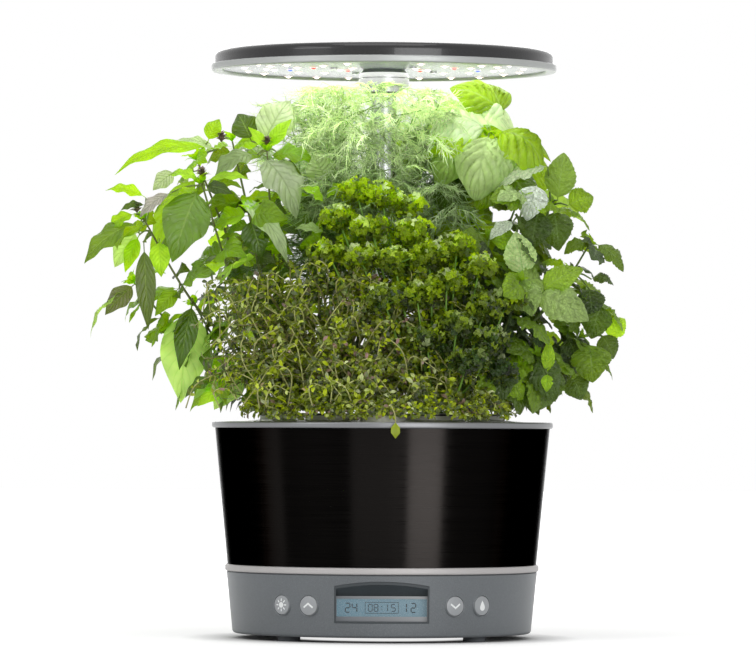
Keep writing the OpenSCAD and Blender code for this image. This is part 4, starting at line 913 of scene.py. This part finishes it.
def dill_ribs(plant, line, ribs=10, threads=14):
    """Side ribs to both sides of a frond, and bent threads along each. The upper ones are paler and lighter,
    as painted light from above.
    """
    rng = plant.rng
    for j in range(2 * ribs):
        base, axis = along_curve(line, 0.32 + 0.67 * (j + rng.random()) / (2 * ribs))
        flat = (-1) ** j * unit(np.cross(axis, [0, 0, 1]))
        heading = unit(flat + 0.8 * axis + rng.normal(0, 0.45, 3))
        reach = (40 - 9 * j / ribs) * rng.uniform(0.7, 1.15)
        tip = held(base + reach * (heading - [0, 0, 0.25]))
        bend = (base + tip) / 2 + [0, 0, 0.12 * reach]
        if not free_of_mast(base, tip, DILL_CLEAR):
            continue
        # Painted light: the threads are paler and lighter the higher they are
        pale = np.clip(0.6 + (base[2] - 370) / 160 + rng.normal(0, 0.25), 0, 1)
        light = np.clip(0.3 + 0.5 * pale + rng.normal(0, 0.15), 0, 1)
        rib = curve([base, bend, tip], 8)
        roots = np.array([along_curve(rib, 0.1 + 0.88 * n / threads)[0] for n in range(threads)])
        length = rng.uniform(0.3, 0.62, (threads, 1)) * reach
        way = units(unit(tip - base) + rng.normal(0, 0.6, (threads, 3)))
        ends = roots + length * way - [0, 0, 0.1 * reach]
        ends[:, 2] = np.clip(ends[:, 2], LEAF_LOW_Z, LEAF_HIGH_Z)
        clear = [free_of_mast(*pair, DILL_CLEAR) for pair in zip(roots, ends)]
        roots, ends, length = roots[clear], ends[clear], length[clear]
        bends = (roots + ends) / 2 + rng.normal(0, 0.09, roots.shape) * length
        from_mast = np.linalg.norm(bends[:, :2], axis=1, keepdims=True)
        bends[:, :2] *= np.maximum(1, (MAST_CLEAR + 1.5) / from_mast)
        fine_threads(plant.leaves, np.vstack([base, roots]), np.vstack([bend, bends]), np.vstack([tip, ends]),
                     0.38, np.tile([pale, light, 0], (len(roots) + 1, 1)))


def make_parsley():
    """Lumps of ruffled leaflets at the heads given, and smaller ones behind and between them."""
    plant = Plant("parsley", 15, 6.5)
    crown = plant.pod + [0, 0, CROWN_Z]
    heads = np.array(PARSLEY_HEADS, float)
    for k, head in enumerate(heads):
        knee = crown + (head - crown) * 0.55
        knee += [0.06 * head[0], 0.06 * head[1], -12]
        line = curve(plant.from_crown(k, [knee, head]), 12)
        tube(plant.stems, line, 1.3, 0.7, 6, 0.5 + 0.4 * plant.rng.random())
        curly_head(plant, head, 86)
        behind = (head + heads[(k + 5) % len(heads)]) / 2 + [0, 12, -14]
        if free_of_mast(behind, behind, 50):
            curly_head(plant, behind, 46)
    plant.finish(CURLY, gloss=0.34)


def curly_head(plant, head, count):
    """A lump of small ruffled leaflets on short stalks, painted brighter where it is high up and on its
    outside and darker inside, as light and shade.
    """
    rng = plant.rng
    way = units(rng.normal(0, 1, (count, 3)))
    depth = rng.uniform(0.45, 1.1, (count, 1))
    spots = head + way * depth * [16, 13, 11]
    outward = units(spots - head + rng.normal(0, 6, (count, 3)) + [0, -2, 5])
    # Painted light and shade: youth rises with height and towards the lump's outside, and lightness with
    # height in the lump
    youth = 0.6 + (spots[:, 2] - 300) / 130 + 0.5 * (depth[:, 0] - 0.8) + rng.normal(0, 0.2, count)
    light = 0.45 + (spots[:, 2] - head[2]) / 26 + rng.normal(0, 0.22, count)
    tone = np.clip(np.stack([youth, light, np.zeros(count)], 1), 0, 1)
    fine_curls(plant.leaves, spots, outward, rng.uniform(2.5, 4.6, count), tone, rng)
    for spot in spots[::12]:
        tube(plant.stems, [head - [0, 0, 6], (head + spot) / 2 - [0, 0, 2], spot], 0.6, 0.35, 4, 0.8)


def thyme_tip(k):
    """The places of the tips, spread evenly over a bank that rises to the back and dips at both ends."""
    u = k * GOLDEN % 1
    v = (k * 0.755 + 0.31) % 1
    out = (2 * u - 1) ** 2
    return np.array([-138 + 194 * u, -124 + 56 * v + 40 * out * (1 - v), 192 + 112 * v - 30 * out * v])


def make_thyme():
    """Wiry arching stems with pairs of very small leaves, pale side sprigs, and low ones at the front."""
    plant = Plant("thyme", 16, 6.5)
    rng = plant.rng
    start = plant.pod + [0, 0, CROWN_Z]
    for k in range(150):
        tip = thyme_tip(k) + rng.normal(0, 4, 3) + [0, 34 * (k % 3 == 2), 0]
        knee = start + (tip - start) * 0.5 + [0, 0, 10 + 14 * (k * 0.382 % 1)] + rng.normal(0, 6, 3)
        late = knee + (tip - knee) * 0.6 + [0, 0, rng.uniform(0, 9)] + rng.normal(0, 5, 3)
        line = curve([held(p) for p in plant.from_crown(k, [knee, late, tip])], 22)
        thyme_stem(plant, line, k, 0.9, 0.4, 0.2 + 0.8 * rng.random() ** 2, 17)
    for k in range(90):
        thyme_stem(plant, curve(thyme_sprig(k, rng), 12), k, 0.6, 0.35, 0.6 + 0.4 * rng.random(), 9)
    for k in range(200):
        thyme_stem(plant, curve(creeping_sprig(rng, k % 2 == 0), 10), k, 0.6, 0.35, 0.7, 11)
    over_rim = curve([[-20, -92, 196], [2, -122, 190], [9, -138, 180], [10, -140, 172]], 10)
    tube(plant.stems, over_rim, 0.8, 0.4, 5, 0.7)
    leaf(plant.leaves, TINY, over_rim[-1], [10, -142, 160], 8, 1, (0.4, 0.6, 0), rng, FRONT)
    plant.finish(TINY, gloss=0.4, through=0.35)


def thyme_sprig(k, rng):
    """A pale curled side sprig in the outer layer."""
    tip = thyme_tip(k * 3 + 1) + [0, -8, 6]
    root = tip + [rng.uniform(-24, 24), 10, -rng.uniform(16, 38)]
    middle = (root + tip) / 2 + [rng.uniform(-8, 8), -8, rng.uniform(2, 12)]
    return [held(p) for p in (root, middle, tip, tip + [rng.uniform(-16, 16), -2, -rng.uniform(2, 12)])]


def creeping_sprig(rng, hanging):
    """A low sprig on the front of the deck, which hides the feet of the other plants, or one that hangs
    over the deck's rim."""
    angle = math.radians(rng.uniform(-52, 46))
    out = rng.uniform(100, 124) if hanging else rng.uniform(70, 118)
    root = np.array([out * math.sin(angle), -out * math.cos(angle), 184])
    angle += rng.uniform(-0.2, 0.2)
    out = 132 if hanging else min(out + rng.uniform(6, 40), 126)
    tip = np.array([out * math.sin(angle), -out * math.cos(angle), 183 + 30 * rng.random() ** 2])
    if hanging:
        tip[2] = rng.uniform(176, 184)
    middle = (root + tip) / 2 + [rng.uniform(-8, 8), 0, 0]
    middle[2] = max(tip[2], root[2]) + rng.uniform(0, 7)
    return [root, middle, tip]


def over_the_edge(point):
    """The point, kept above the deck, or hanging just in front of its rim."""
    out = math.hypot(point[0], point[1])
    if out < 127:
        return np.array([point[0], point[1], max(point[2], 180.5)])
    aside = min(max(out, 130.6), 134) / out
    return np.array([point[0] * aside, point[1] * aside, max(point[2], 174)])


def thyme_stem(plant, line, k, radius, tip_radius, youth, pairs):
    """A stem with pairs of opposite leaves, each turned a quarter from the last. A few are purplish."""
    rng = plant.rng
    tube(plant.stems, line, radius, tip_radius, 5, youth)
    for j in range(pairs):
        base, axis = along_curve(line, 0.2 + 0.79 * j / (pairs - 1))
        across = unit(np.cross(axis, [0.2, 1, 0.1]))
        for half in (0, math.pi):
            outward = turned_about(axis, across, 1.57 * j + 0.6 * k + half + rng.normal(0, 0.3))
            length = rng.uniform(4, 7)
            tip = base + length * unit(outward + rng.uniform(0.2, 0.8) * axis)
            if tip[2] < 190:
                tip = over_the_edge(tip)
            odd = 0.9 if rng.random() < 0.05 else 0
            tone = (rng.beta(0.6, 1.1), rng.beta(0.9, 1.2), odd)
            leaf(plant.leaves, TINY, base, tip, length * rng.uniform(0.42, 0.58), 0.6, tone, rng)


# ---------- panel details ----------

# Millimetres: the heights of the buttons and of the display's figures
PANEL_Z = 29
FIGURES_Z = 27.4
BUTTON_ANGLES = {"light_key": -40, "up_key": -28, "down_key": 28, "feed_key": 40}
# The radius of the caps' dome, and how far icons stand out of it and go into it
CAP_DOME = 40
ICON_RAISE = 0.12
ICON_SINK = 0.2


def bar(start, end, width, steps=4):
    """Quads of a straight stroke, cut so that it can follow a dome."""
    start, end = np.array(start, float), np.array(end, float)
    across = np.array([-(end - start)[1], (end - start)[0]]) / np.linalg.norm(end - start) * width / 2
    spots = [start + (end - start) * n / steps for n in range(steps + 1)]
    return [[spots[n] - across, spots[n + 1] - across, spots[n + 1] + across, spots[n] + across]
            for n in range(steps)]


def disc(centre, radius, count=20):
    """Triangles of a filled circle."""
    ring = [np.array(centre) + radius * np.array([math.cos(a), math.sin(a)])
            for a in np.linspace(0, 2 * math.pi, count + 1)]
    return [[np.array(centre, float), ring[n], ring[n + 1]] for n in range(count)]


def sun():
    def on_ray(radius, angle):
        return radius * math.cos(angle), radius * math.sin(angle)
    rays = [bar(on_ray(2.9, a), on_ray(5, a), 0.9, 2) for a in np.arange(8) * math.pi / 4]
    return disc((0, 0), 2.2) + [quad for ray in rays for quad in ray]


def chevron(up):
    tip, foot = (1.9, -1.6) if up else (-1.9, 1.6)
    return bar((-4, foot), (0.45, tip), 1.35) + bar((4, foot), (-0.45, tip), 1.35)


def drop():
    """A water drop: round below, drawn to a point above."""
    outline = []
    for a in np.linspace(0, 2 * math.pi, 25)[:-1]:
        narrow = math.sin(a / 2) ** 1.3
        outline.append(np.array([3.3 * math.sin(a) * narrow, 4 * math.cos(a)]))
    centre = np.array([0, -1.2])
    return [[centre, outline[n - 1], outline[n]] for n in range(len(outline))]


def cap_frame(body):
    """The way out, the way right and the outermost point of a button's cap."""
    angle = math.radians(BUTTON_ANGLES[body])
    outward = np.array([math.sin(angle), -math.cos(angle), 0])
    right = np.array([math.cos(angle), math.sin(angle), 0])
    cap = nodes[body.replace("_key", "_button")]
    corners = np.array([v.co for v in cap.data.vertices]) / MM
    return outward, right, (corners @ outward).max()


def make_icon(name, shapes, body, finish):
    """Thin raised shapes that follow the dome of a cap."""
    outward, right, apex = cap_frame(body)
    out = Gathered()
    for shape in shapes:
        flat = np.array(shape)
        sag = CAP_DOME - np.sqrt(CAP_DOME ** 2 - (flat ** 2).sum(1))
        place = flat[:, :1] * right + flat[:, 1:] * np.array([0, 0, 1]) + [0, 0, PANEL_Z]
        out.slab(*(place + (apex - sag + rise)[:, None] * outward for rise in (ICON_RAISE, -ICON_SINK)))
    out.piece(name, finish, body, "button_grey", smooth=False)


DIGIT_PARTS = {"0": "abcdef", "1": "bc", "2": "abged", "4": "fgbc", "5": "afgcd", "8": "abcdefg"}


def digit_strokes(character, centre, height, width, stroke):
    """The bars of a seven-segment figure, or the two dots of a colon."""
    x, z = centre
    if character == ":":
        return [bar((x - stroke / 2, z + s * height / 5), (x + stroke / 2, z + s * height / 5), stroke, 1)[0]
                for s in (-1, 1)]
    w, h = 0 if character == "1" else width / 2, height / 2
    gap = stroke * 0.4
    ends = {"a": ((-w + gap, h), (w - gap, h)), "g": ((-w + gap, 0), (w - gap, 0)),
            "d": ((-w + gap, -h), (w - gap, -h)), "f": ((-w, gap), (-w, h - gap)),
            "b": ((w, gap), (w, h - gap)), "e": ((-w, gap - h), (-w, -gap)), "c": ((w, gap - h), (w, -gap))}
    strokes = []
    for part in DIGIT_PARTS[character]:
        (x0, z0), (x1, z1) = ends[part]
        strokes += bar((x + x0, z + z0), (x + x1, z + z1), stroke, 1)
    return strokes


def make_figures():
    """Dark liquid-crystal figures just in front of the display's face, and the frame round the clock."""
    face_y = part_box("lcd_panel")[0].y / MM
    # Text, its middle, and the height, width and stroke of its figures
    figures = [("24", -24, 7, 3.6, 0.9), ("08:15", 0, 5.4, 3, 0.7), ("12", 22, 7, 3.6, 0.9)]
    shapes = []
    for text, middle, height, width, stroke in figures:
        pitch = width * 1.5
        places = [middle + pitch * (n - (len(text) - 1) / 2) for n in range(len(text))]
        for character, x in zip(text, places):
            shapes += digit_strokes(character, (x, FIGURES_Z), height, width, stroke)
    half_w, half_h, line = 13, 4.25, 0.4
    for z in (-half_h, half_h):
        shapes += bar((-half_w, FIGURES_Z + z), (half_w, FIGURES_Z + z), line, 1)
    for x in (-half_w, half_w):
        shapes += bar((x, FIGURES_Z - half_h), (x, FIGURES_Z + half_h), line, 1)
    out = Gathered()
    for shape in shapes:
        flat = np.array(shape)
        front = np.stack([flat[:, 0], np.full(4, face_y - 0.12), flat[:, 1]], 1)
        out.slab(front, front + [0, 0.1, 0])
    ink = lettering_finish("display_ink", srgb(44, 62, 70))
    out.piece("display_figures", ink, "base", "display_face", smooth=False)


def make_display_plate():
    """The thin pale plate round the display, which shows as a band above it and a wider one below."""
    low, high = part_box("display_window")
    x, z_low, z_high = high.x / MM + 0.1, low.z / MM - 0.1, high.z / MM + 0.1
    front_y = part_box("lcd_panel")[0].y / MM - 1.2
    side, below, above, thick = 0.4, 3.7, 2.1, 0.22
    inner = [(-x, z_low), (x, z_low), (x, z_high), (-x, z_high)]
    outer = [(-x - side, z_low - below), (x + side, z_low - below),
             (x + side, z_high + above), (-x - side, z_high + above)]
    rings = []
    for corners, lift in ((inner, 0.0), (inner, thick), (outer, thick), (outer, 0.0)):
        rings.append([(cx, front_y - lift, cz) for cx, cz in corners])
    out = Gathered()
    out.add(np.array(rings), [grid_faces(4, 4, True)])
    made = Finish("display_plate", 0.35, metallic=0.3)
    # Painted light: the plate's colour is lighter towards its right
    across = made.spread(made.axes()[0], 0, 1, -0.035, 0.035)
    made.feed("Base Color", made.mix(across, srgb(118, 122, 126), srgb(164, 166, 168)))
    made.bump(made.noise(900, 3), 0.2, 0.00003)
    out.piece("display_plate", made, "base", "base_paint", smooth=False)


def make_button_wells():
    """A thin bright lip round each cap's hole in the base."""
    # Radius, and height over the outermost point of the cap
    profile = [(7.95, -1.9), (7.95, -0.5), (8.2, -0.3), (8.5, -0.4), (8.75, -1.0), (8.75, -1.9)]
    angle = np.linspace(0, 2 * math.pi, 49)[:-1]
    out = Gathered()
    for body in BUTTON_ANGLES:
        outward, right, apex = cap_frame(body)
        rings = []
        for radius, depth in profile:
            flat = radius * (np.cos(angle)[:, None] * right + np.sin(angle)[:, None] * np.array([0, 0, 1]))
            wall_fall = 0.5 * (radius * np.cos(angle)) ** 2 / apex
            rings.append(flat + [0, 0, PANEL_Z] + (apex + depth - wall_fall)[:, None] * outward)
        out.add(np.array(rings), [grid_faces(len(profile), len(angle), True)])
    out.piece("button_surrounds", moulded("surround_grey", srgb(120, 124, 127), 0.35, metallic=0.5),
              "base", "base_paint")


def light_places():
    """The middle of each light, from the corners of the lights' nodes that are close together."""
    places = []
    for node in ("leds_white", "leds_red", "leds_blue"):
        corners = np.array([v.co for v in nodes[node].data.vertices])[:, :2] / MM
        while len(corners):
            near = np.linalg.norm(corners - corners[0], axis=1) < 6
            places.append((corners[near].min(0) + corners[near].max(0)) / 2)
            corners = corners[~near]
    return places


def make_led_pads():
    """The square white package that each light sits in, a little smaller at its lower end."""
    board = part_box("led_board")[0].z / MM
    half, drop, taper = 2.7, 0.4, 0.3
    out = Gathered()
    for x, y in light_places():
        outward = unit([x, y, 0])
        across = np.array([-outward[1], outward[0], 0])
        centre = np.array([x, y, board])
        square = [centre + half * (a * outward + b * across) for a, b in ((-1, -1), (1, -1), (1, 1), (-1, 1))]
        out.slab(square, [p - [0, 0, drop] - taper * unit(p - centre) for p in square])
    finish = light_cell("led_package", srgb(255, 240, 234), 1.0, srgb(255, 206, 196))
    out.piece("led_packages", finish, "lamp", "led_board_white", smooth=False)


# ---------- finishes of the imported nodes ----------

def dress_nodes():
    """Each slot of the record gets its own procedural finish."""
    finishes = [
        metal_paint("base_paint"),
        moulded("trim_grey", srgb(190, 187, 186), 0.45, mottle=0.03, metallic=0.25),
        brushed_sleeve("sleeve_black"),
        moulded("bowl_black", srgb(34, 34, 36), 0.4),
        brushed("rim_grey", srgb(122, 123, 125), 0.36, 900, contrast=0.08),
        moulded("deck_white", srgb(222, 221, 214), 0.42, mottle=0.04, grain=500),
        moulded("black_plastic", srgb(40, 40, 42), 0.45),
        moulded("button_grey", srgb(160, 163, 166), 0.36, metallic=0.2, coat_weight=0.2),
        display_glass("display_glass"),
        display_face("display_face"),
        # Painted shade: the bezel is a dark plastic that stands for the shade in the display's recess
        moulded("bezel_dark", srgb(60, 66, 70), 0.4),
        circuit_board("board_green", srgb(24, 84, 48), srgb(60, 120, 76)),
        moulded("white_plastic", srgb(232, 232, 226), 0.4),
        moulded("foot_rubber", srgb(92, 96, 100), 0.7, grain=1200, depth=0.0001),
        foam("foam_filter", srgb(44, 44, 46), 900),
        foam("sponge", srgb(92, 66, 44), 500),
        moulded("seal_rubber", srgb(34, 34, 34), 0.7),
        brushed("screw_steel", srgb(205, 206, 206), 0.3, 2000),
        brushed("tube_silver", srgb(196, 198, 200), 0.24, 2500, contrast=0.06),
        brushed("hub_silver", srgb(172, 174, 173), 0.3, 2500, contrast=0.05),
        moulded("hood_dark", srgb(38, 38, 39), 0.22, metallic=0.6, coat_weight=0.4),
        moulded("lamp_ring_silver", srgb(180, 183, 181), 0.38, metallic=0.35),
        led_board_finish("led_board_white"),
        light_cell("led_white", (1, 0.98, 0.95, 1), 3.6, srgb(255, 214, 196)),
        light_cell("led_red", srgb(255, 70, 70), 2.4, srgb(230, 30, 50)),
        light_cell("led_blue", srgb(70, 90, 255), 2.4, srgb(30, 40, 230)),
        moulded("collar_paper", srgb(226, 224, 214), 0.8, mottle=0.06, grain=1400),
        moulded("float_red", srgb(190, 60, 40), 0.4)]
    by_slot = {finish.name: finish.material for finish in finishes}
    for sub_part in frame["record"]["subparts"]:
        material = by_slot.get(sub_part["material_slot"])
        if material:
            materials = nodes[sub_part["node"]].data.materials
            materials.clear()
            materials.append(material)


# ---------- stage, light and camera ----------

# Strength, metres, degrees, and the lens in mm
WORLD_LIGHT = 0.32
CAMERA_DISTANCE = 4.64
CAMERA_HEIGHT = 0.178
CAMERA_SIDE = -0.0039
CAMERA_PITCH = 0.8446
CAMERA_ROLL = 0.248
CAMERA_LENS = 276.2
# Name, angle from the front in degrees, distance, height, the box's width and height, and radiance
SOFTBOXES = [
    ("key_left", -48, 1.7, 0.95, 0.8, 0.8, 2.7),
    ("top", 0, 0.5, 1.9, 1.2, 1.2, 1.7),
    ("back", 180, 1.6, 0.7, 1.2, 1.0, 2.0),
    ("front_low", 22, 2.0, 0.45, 1.1, 0.8, 3.4)]
# The narrow lights that only the black sleeve shows, as upright bands: the angles round the sleeve, from
# the front, between which a band is seen, and the light's radiance
SLEEVE_BANDS = [
    ("band_bright", 9, 21.5, 38.0),
    ("band_middle", -11, 7, 5.5),
    ("band_left", -57.5, -37.5, 5.0),
    ("band_right", 45.5, 56, 4.0)]
# Metres: the sleeve's radius and middle height, and how far from it the bands stand and how tall they are
SLEEVE_RADIUS = 0.129
SLEEVE_MIDDLE = 0.08
BAND_REACH = 0.26
BAND_TALL = 0.155
# Strengths of the floor's own white at a start and an end, and those places' distances from the middle
# Under the base, painted light: the floor's white there lifts the shadow of the base, so that the feet stand
# out
FLOOR_PAINTED_LIGHT_UNDER_BASE = (0.8, 0, 0.064, 0.084)
FLOOR_PAST_BASE = (0, 0.45, 0.118, 0.16)
FLOOR_FAR = (0, 0.6, 0.5, 2)


def sees_background(tree):
    """1 for rays from the camera, a gloss or a clear piece, and 0 for the rest."""
    path = tree.nodes.new("ShaderNodeLightPath")
    seen = path.outputs["Is Camera Ray"]
    for label in ("Is Glossy Ray", "Is Transmission Ray"):
        both = tree.nodes.new("ShaderNodeMath")
        both.operation = "MAXIMUM"
        tree.links.new(seen, both.inputs[0])
        tree.links.new(path.outputs[label], both.inputs[1])
        seen = both.outputs[0]
    return seen


def make_world():
    world = bpy.data.worlds.new("studio")
    world.use_nodes = True
    tree = world.node_tree
    background = tree.nodes["Background"]
    background.inputs["Color"].default_value = (1, 1, 1, 1)
    strength = tree.nodes.new("ShaderNodeMapRange")
    strength.inputs["To Min"].default_value = WORLD_LIGHT
    strength.inputs["To Max"].default_value = 1.0
    tree.links.new(sees_background(tree), strength.inputs["Value"])
    tree.links.new(strength.outputs[0], background.inputs["Strength"])
    bpy.context.scene.world = world


def make_floor():
    """A plain pale floor, which the camera sees as white where nothing shades it. Under the middle of the
    base a painted light lifts its shadow, so that the feet stand out, and it shows whiter past the base and
    far away."""
    reach, sides = 9.0, 64
    mesh = bpy.data.meshes.new("floor")
    turns = np.linspace(0, 2 * math.pi, sides + 1)[:-1]
    ring = [(reach * math.cos(a), reach * math.sin(a), 0) for a in turns]
    mesh.from_pydata(ring, [], [list(range(sides))])
    made = Finish("floor_white", 0.9)
    made.feed("Base Color", made.mix(made.noise(3, 2), (0.82, 0.82, 0.82, 1), (0.85, 0.85, 0.85, 1)))
    radius = made.node("VectorMath", {0: made.place()}, operation="LENGTH").outputs["Value"]
    near = made.plus(made.spread(radius, *FLOOR_PAINTED_LIGHT_UNDER_BASE), made.spread(radius, *FLOOR_PAST_BASE))
    glow = made.plus(near, made.spread(radius, *FLOOR_FAR))
    lit = made.node("Emission", {
        "Color": (1, 1, 1, 1), "Strength": made.times(glow, sees_background(made.tree))})
    made.show("AddShader", {0: made.shader.outputs[0], 1: lit.outputs[0]})
    mesh.materials.append(made.material)
    floor = in_scene("floor", mesh)


def area_light(name, place, aim, width, tall, radiance):
    data = bpy.data.lights.new(name, "AREA")
    data.shape = "RECTANGLE"
    data.size, data.size_y = width, tall
    data.energy = radiance * math.pi * width * tall
    lamp = in_scene(name, data)
    lamp.location = place
    lamp.rotation_euler = (Vector(aim) - Vector(place)).to_track_quat("-Z", "Y").to_euler()
    lamp.visible_camera = False
    return lamp


def make_softbox(name, angle, distance, height, width, tall, radiance):
    turn = math.radians(angle)
    place = (distance * math.sin(turn), -distance * math.cos(turn), height)
    area_light(name, place, (0, 0, 0.2), width, tall, radiance)


def mirrored(degrees, reach):
    """The point at an angle round the sleeve, moved by reach the way that the camera's view is mirrored."""
    a = math.radians(degrees)
    return Vector((SLEEVE_RADIUS * math.sin(a) + reach * math.sin(2 * a),
                   -SLEEVE_RADIUS * math.cos(a) - reach * math.cos(2 * a), SLEEVE_MIDDLE))


def make_sleeve_bands():
    """Upright lights where the sleeve mirrors the camera's view, linked so that only the sleeve sees them."""
    only_sleeve = bpy.data.collections.new("only_sleeve")
    only_sleeve.objects.link(nodes["bowl_sleeve"])
    for name, start, end, radiance in SLEEVE_BANDS:
        first, last = mirrored(start, BAND_REACH), mirrored(end, BAND_REACH)
        seen_at = mirrored((start + end) / 2, 0)
        lamp = area_light(name, (first + last) / 2, seen_at, (last - first).length, BAND_TALL, radiance)
        lamp.visible_diffuse = False
        lamp.light_linking.receiver_collection = only_sleeve


def make_grow_light():
    """What the lamp throws on the plants. It moves with the lamp."""
    low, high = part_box("lamp_ring")
    radiance = 2.0
    data = bpy.data.lights.new("grow_light", "AREA")
    data.shape = "DISK"
    data.size = 0.9 * (high.x - low.x)
    data.energy = radiance * math.pi * math.pi * data.size ** 2 / 4
    data.color = (1, 0.99, 0.96)
    lamp = in_scene("grow_light", data)
    lamp.location = (0, 0, low.z - 0.001)
    lamp.visible_camera = False
    lamp.parent = frame["bodies"]["lamp"]


def make_camera():
    data = bpy.data.cameras.new("camera")
    data.sensor_width = 36
    data.lens = CAMERA_LENS
    data.clip_end = 100
    pitch = Matrix.Rotation(math.radians(90 + CAMERA_PITCH), 4, "X")
    roll = Matrix.Rotation(math.radians(CAMERA_ROLL), 4, "Z")
    spot = Matrix.Translation((CAMERA_SIDE, -CAMERA_DISTANCE, CAMERA_HEIGHT))
    camera = in_scene("camera", data)
    camera.matrix_world = spot @ pitch @ roll
    bpy.context.scene.camera = camera


# ---------- the whole scene ----------

make_camera()
make_world()
make_floor()
for softbox in SOFTBOXES:
    make_softbox(*softbox)
make_sleeve_bands()
make_grow_light()
dress_nodes()

icon_paint = lettering_finish("icon_white", srgb(236, 238, 238), 0.15)
make_icon("light_icon", sun(), "light_key", icon_paint)
make_icon("up_icon", chevron(True), "up_key", icon_paint)
make_icon("down_icon", chevron(False), "down_key", icon_paint)
make_icon("feed_icon", drop(), "feed_key", icon_paint)
make_figures()
make_display_plate()
make_button_wells()
make_led_pads()

make_thai_basil()
make_sweet_basil()
make_mint()
make_dill()
make_parsley()
make_thyme()

bpy.context.scene.view_settings.view_transform = "Standard"
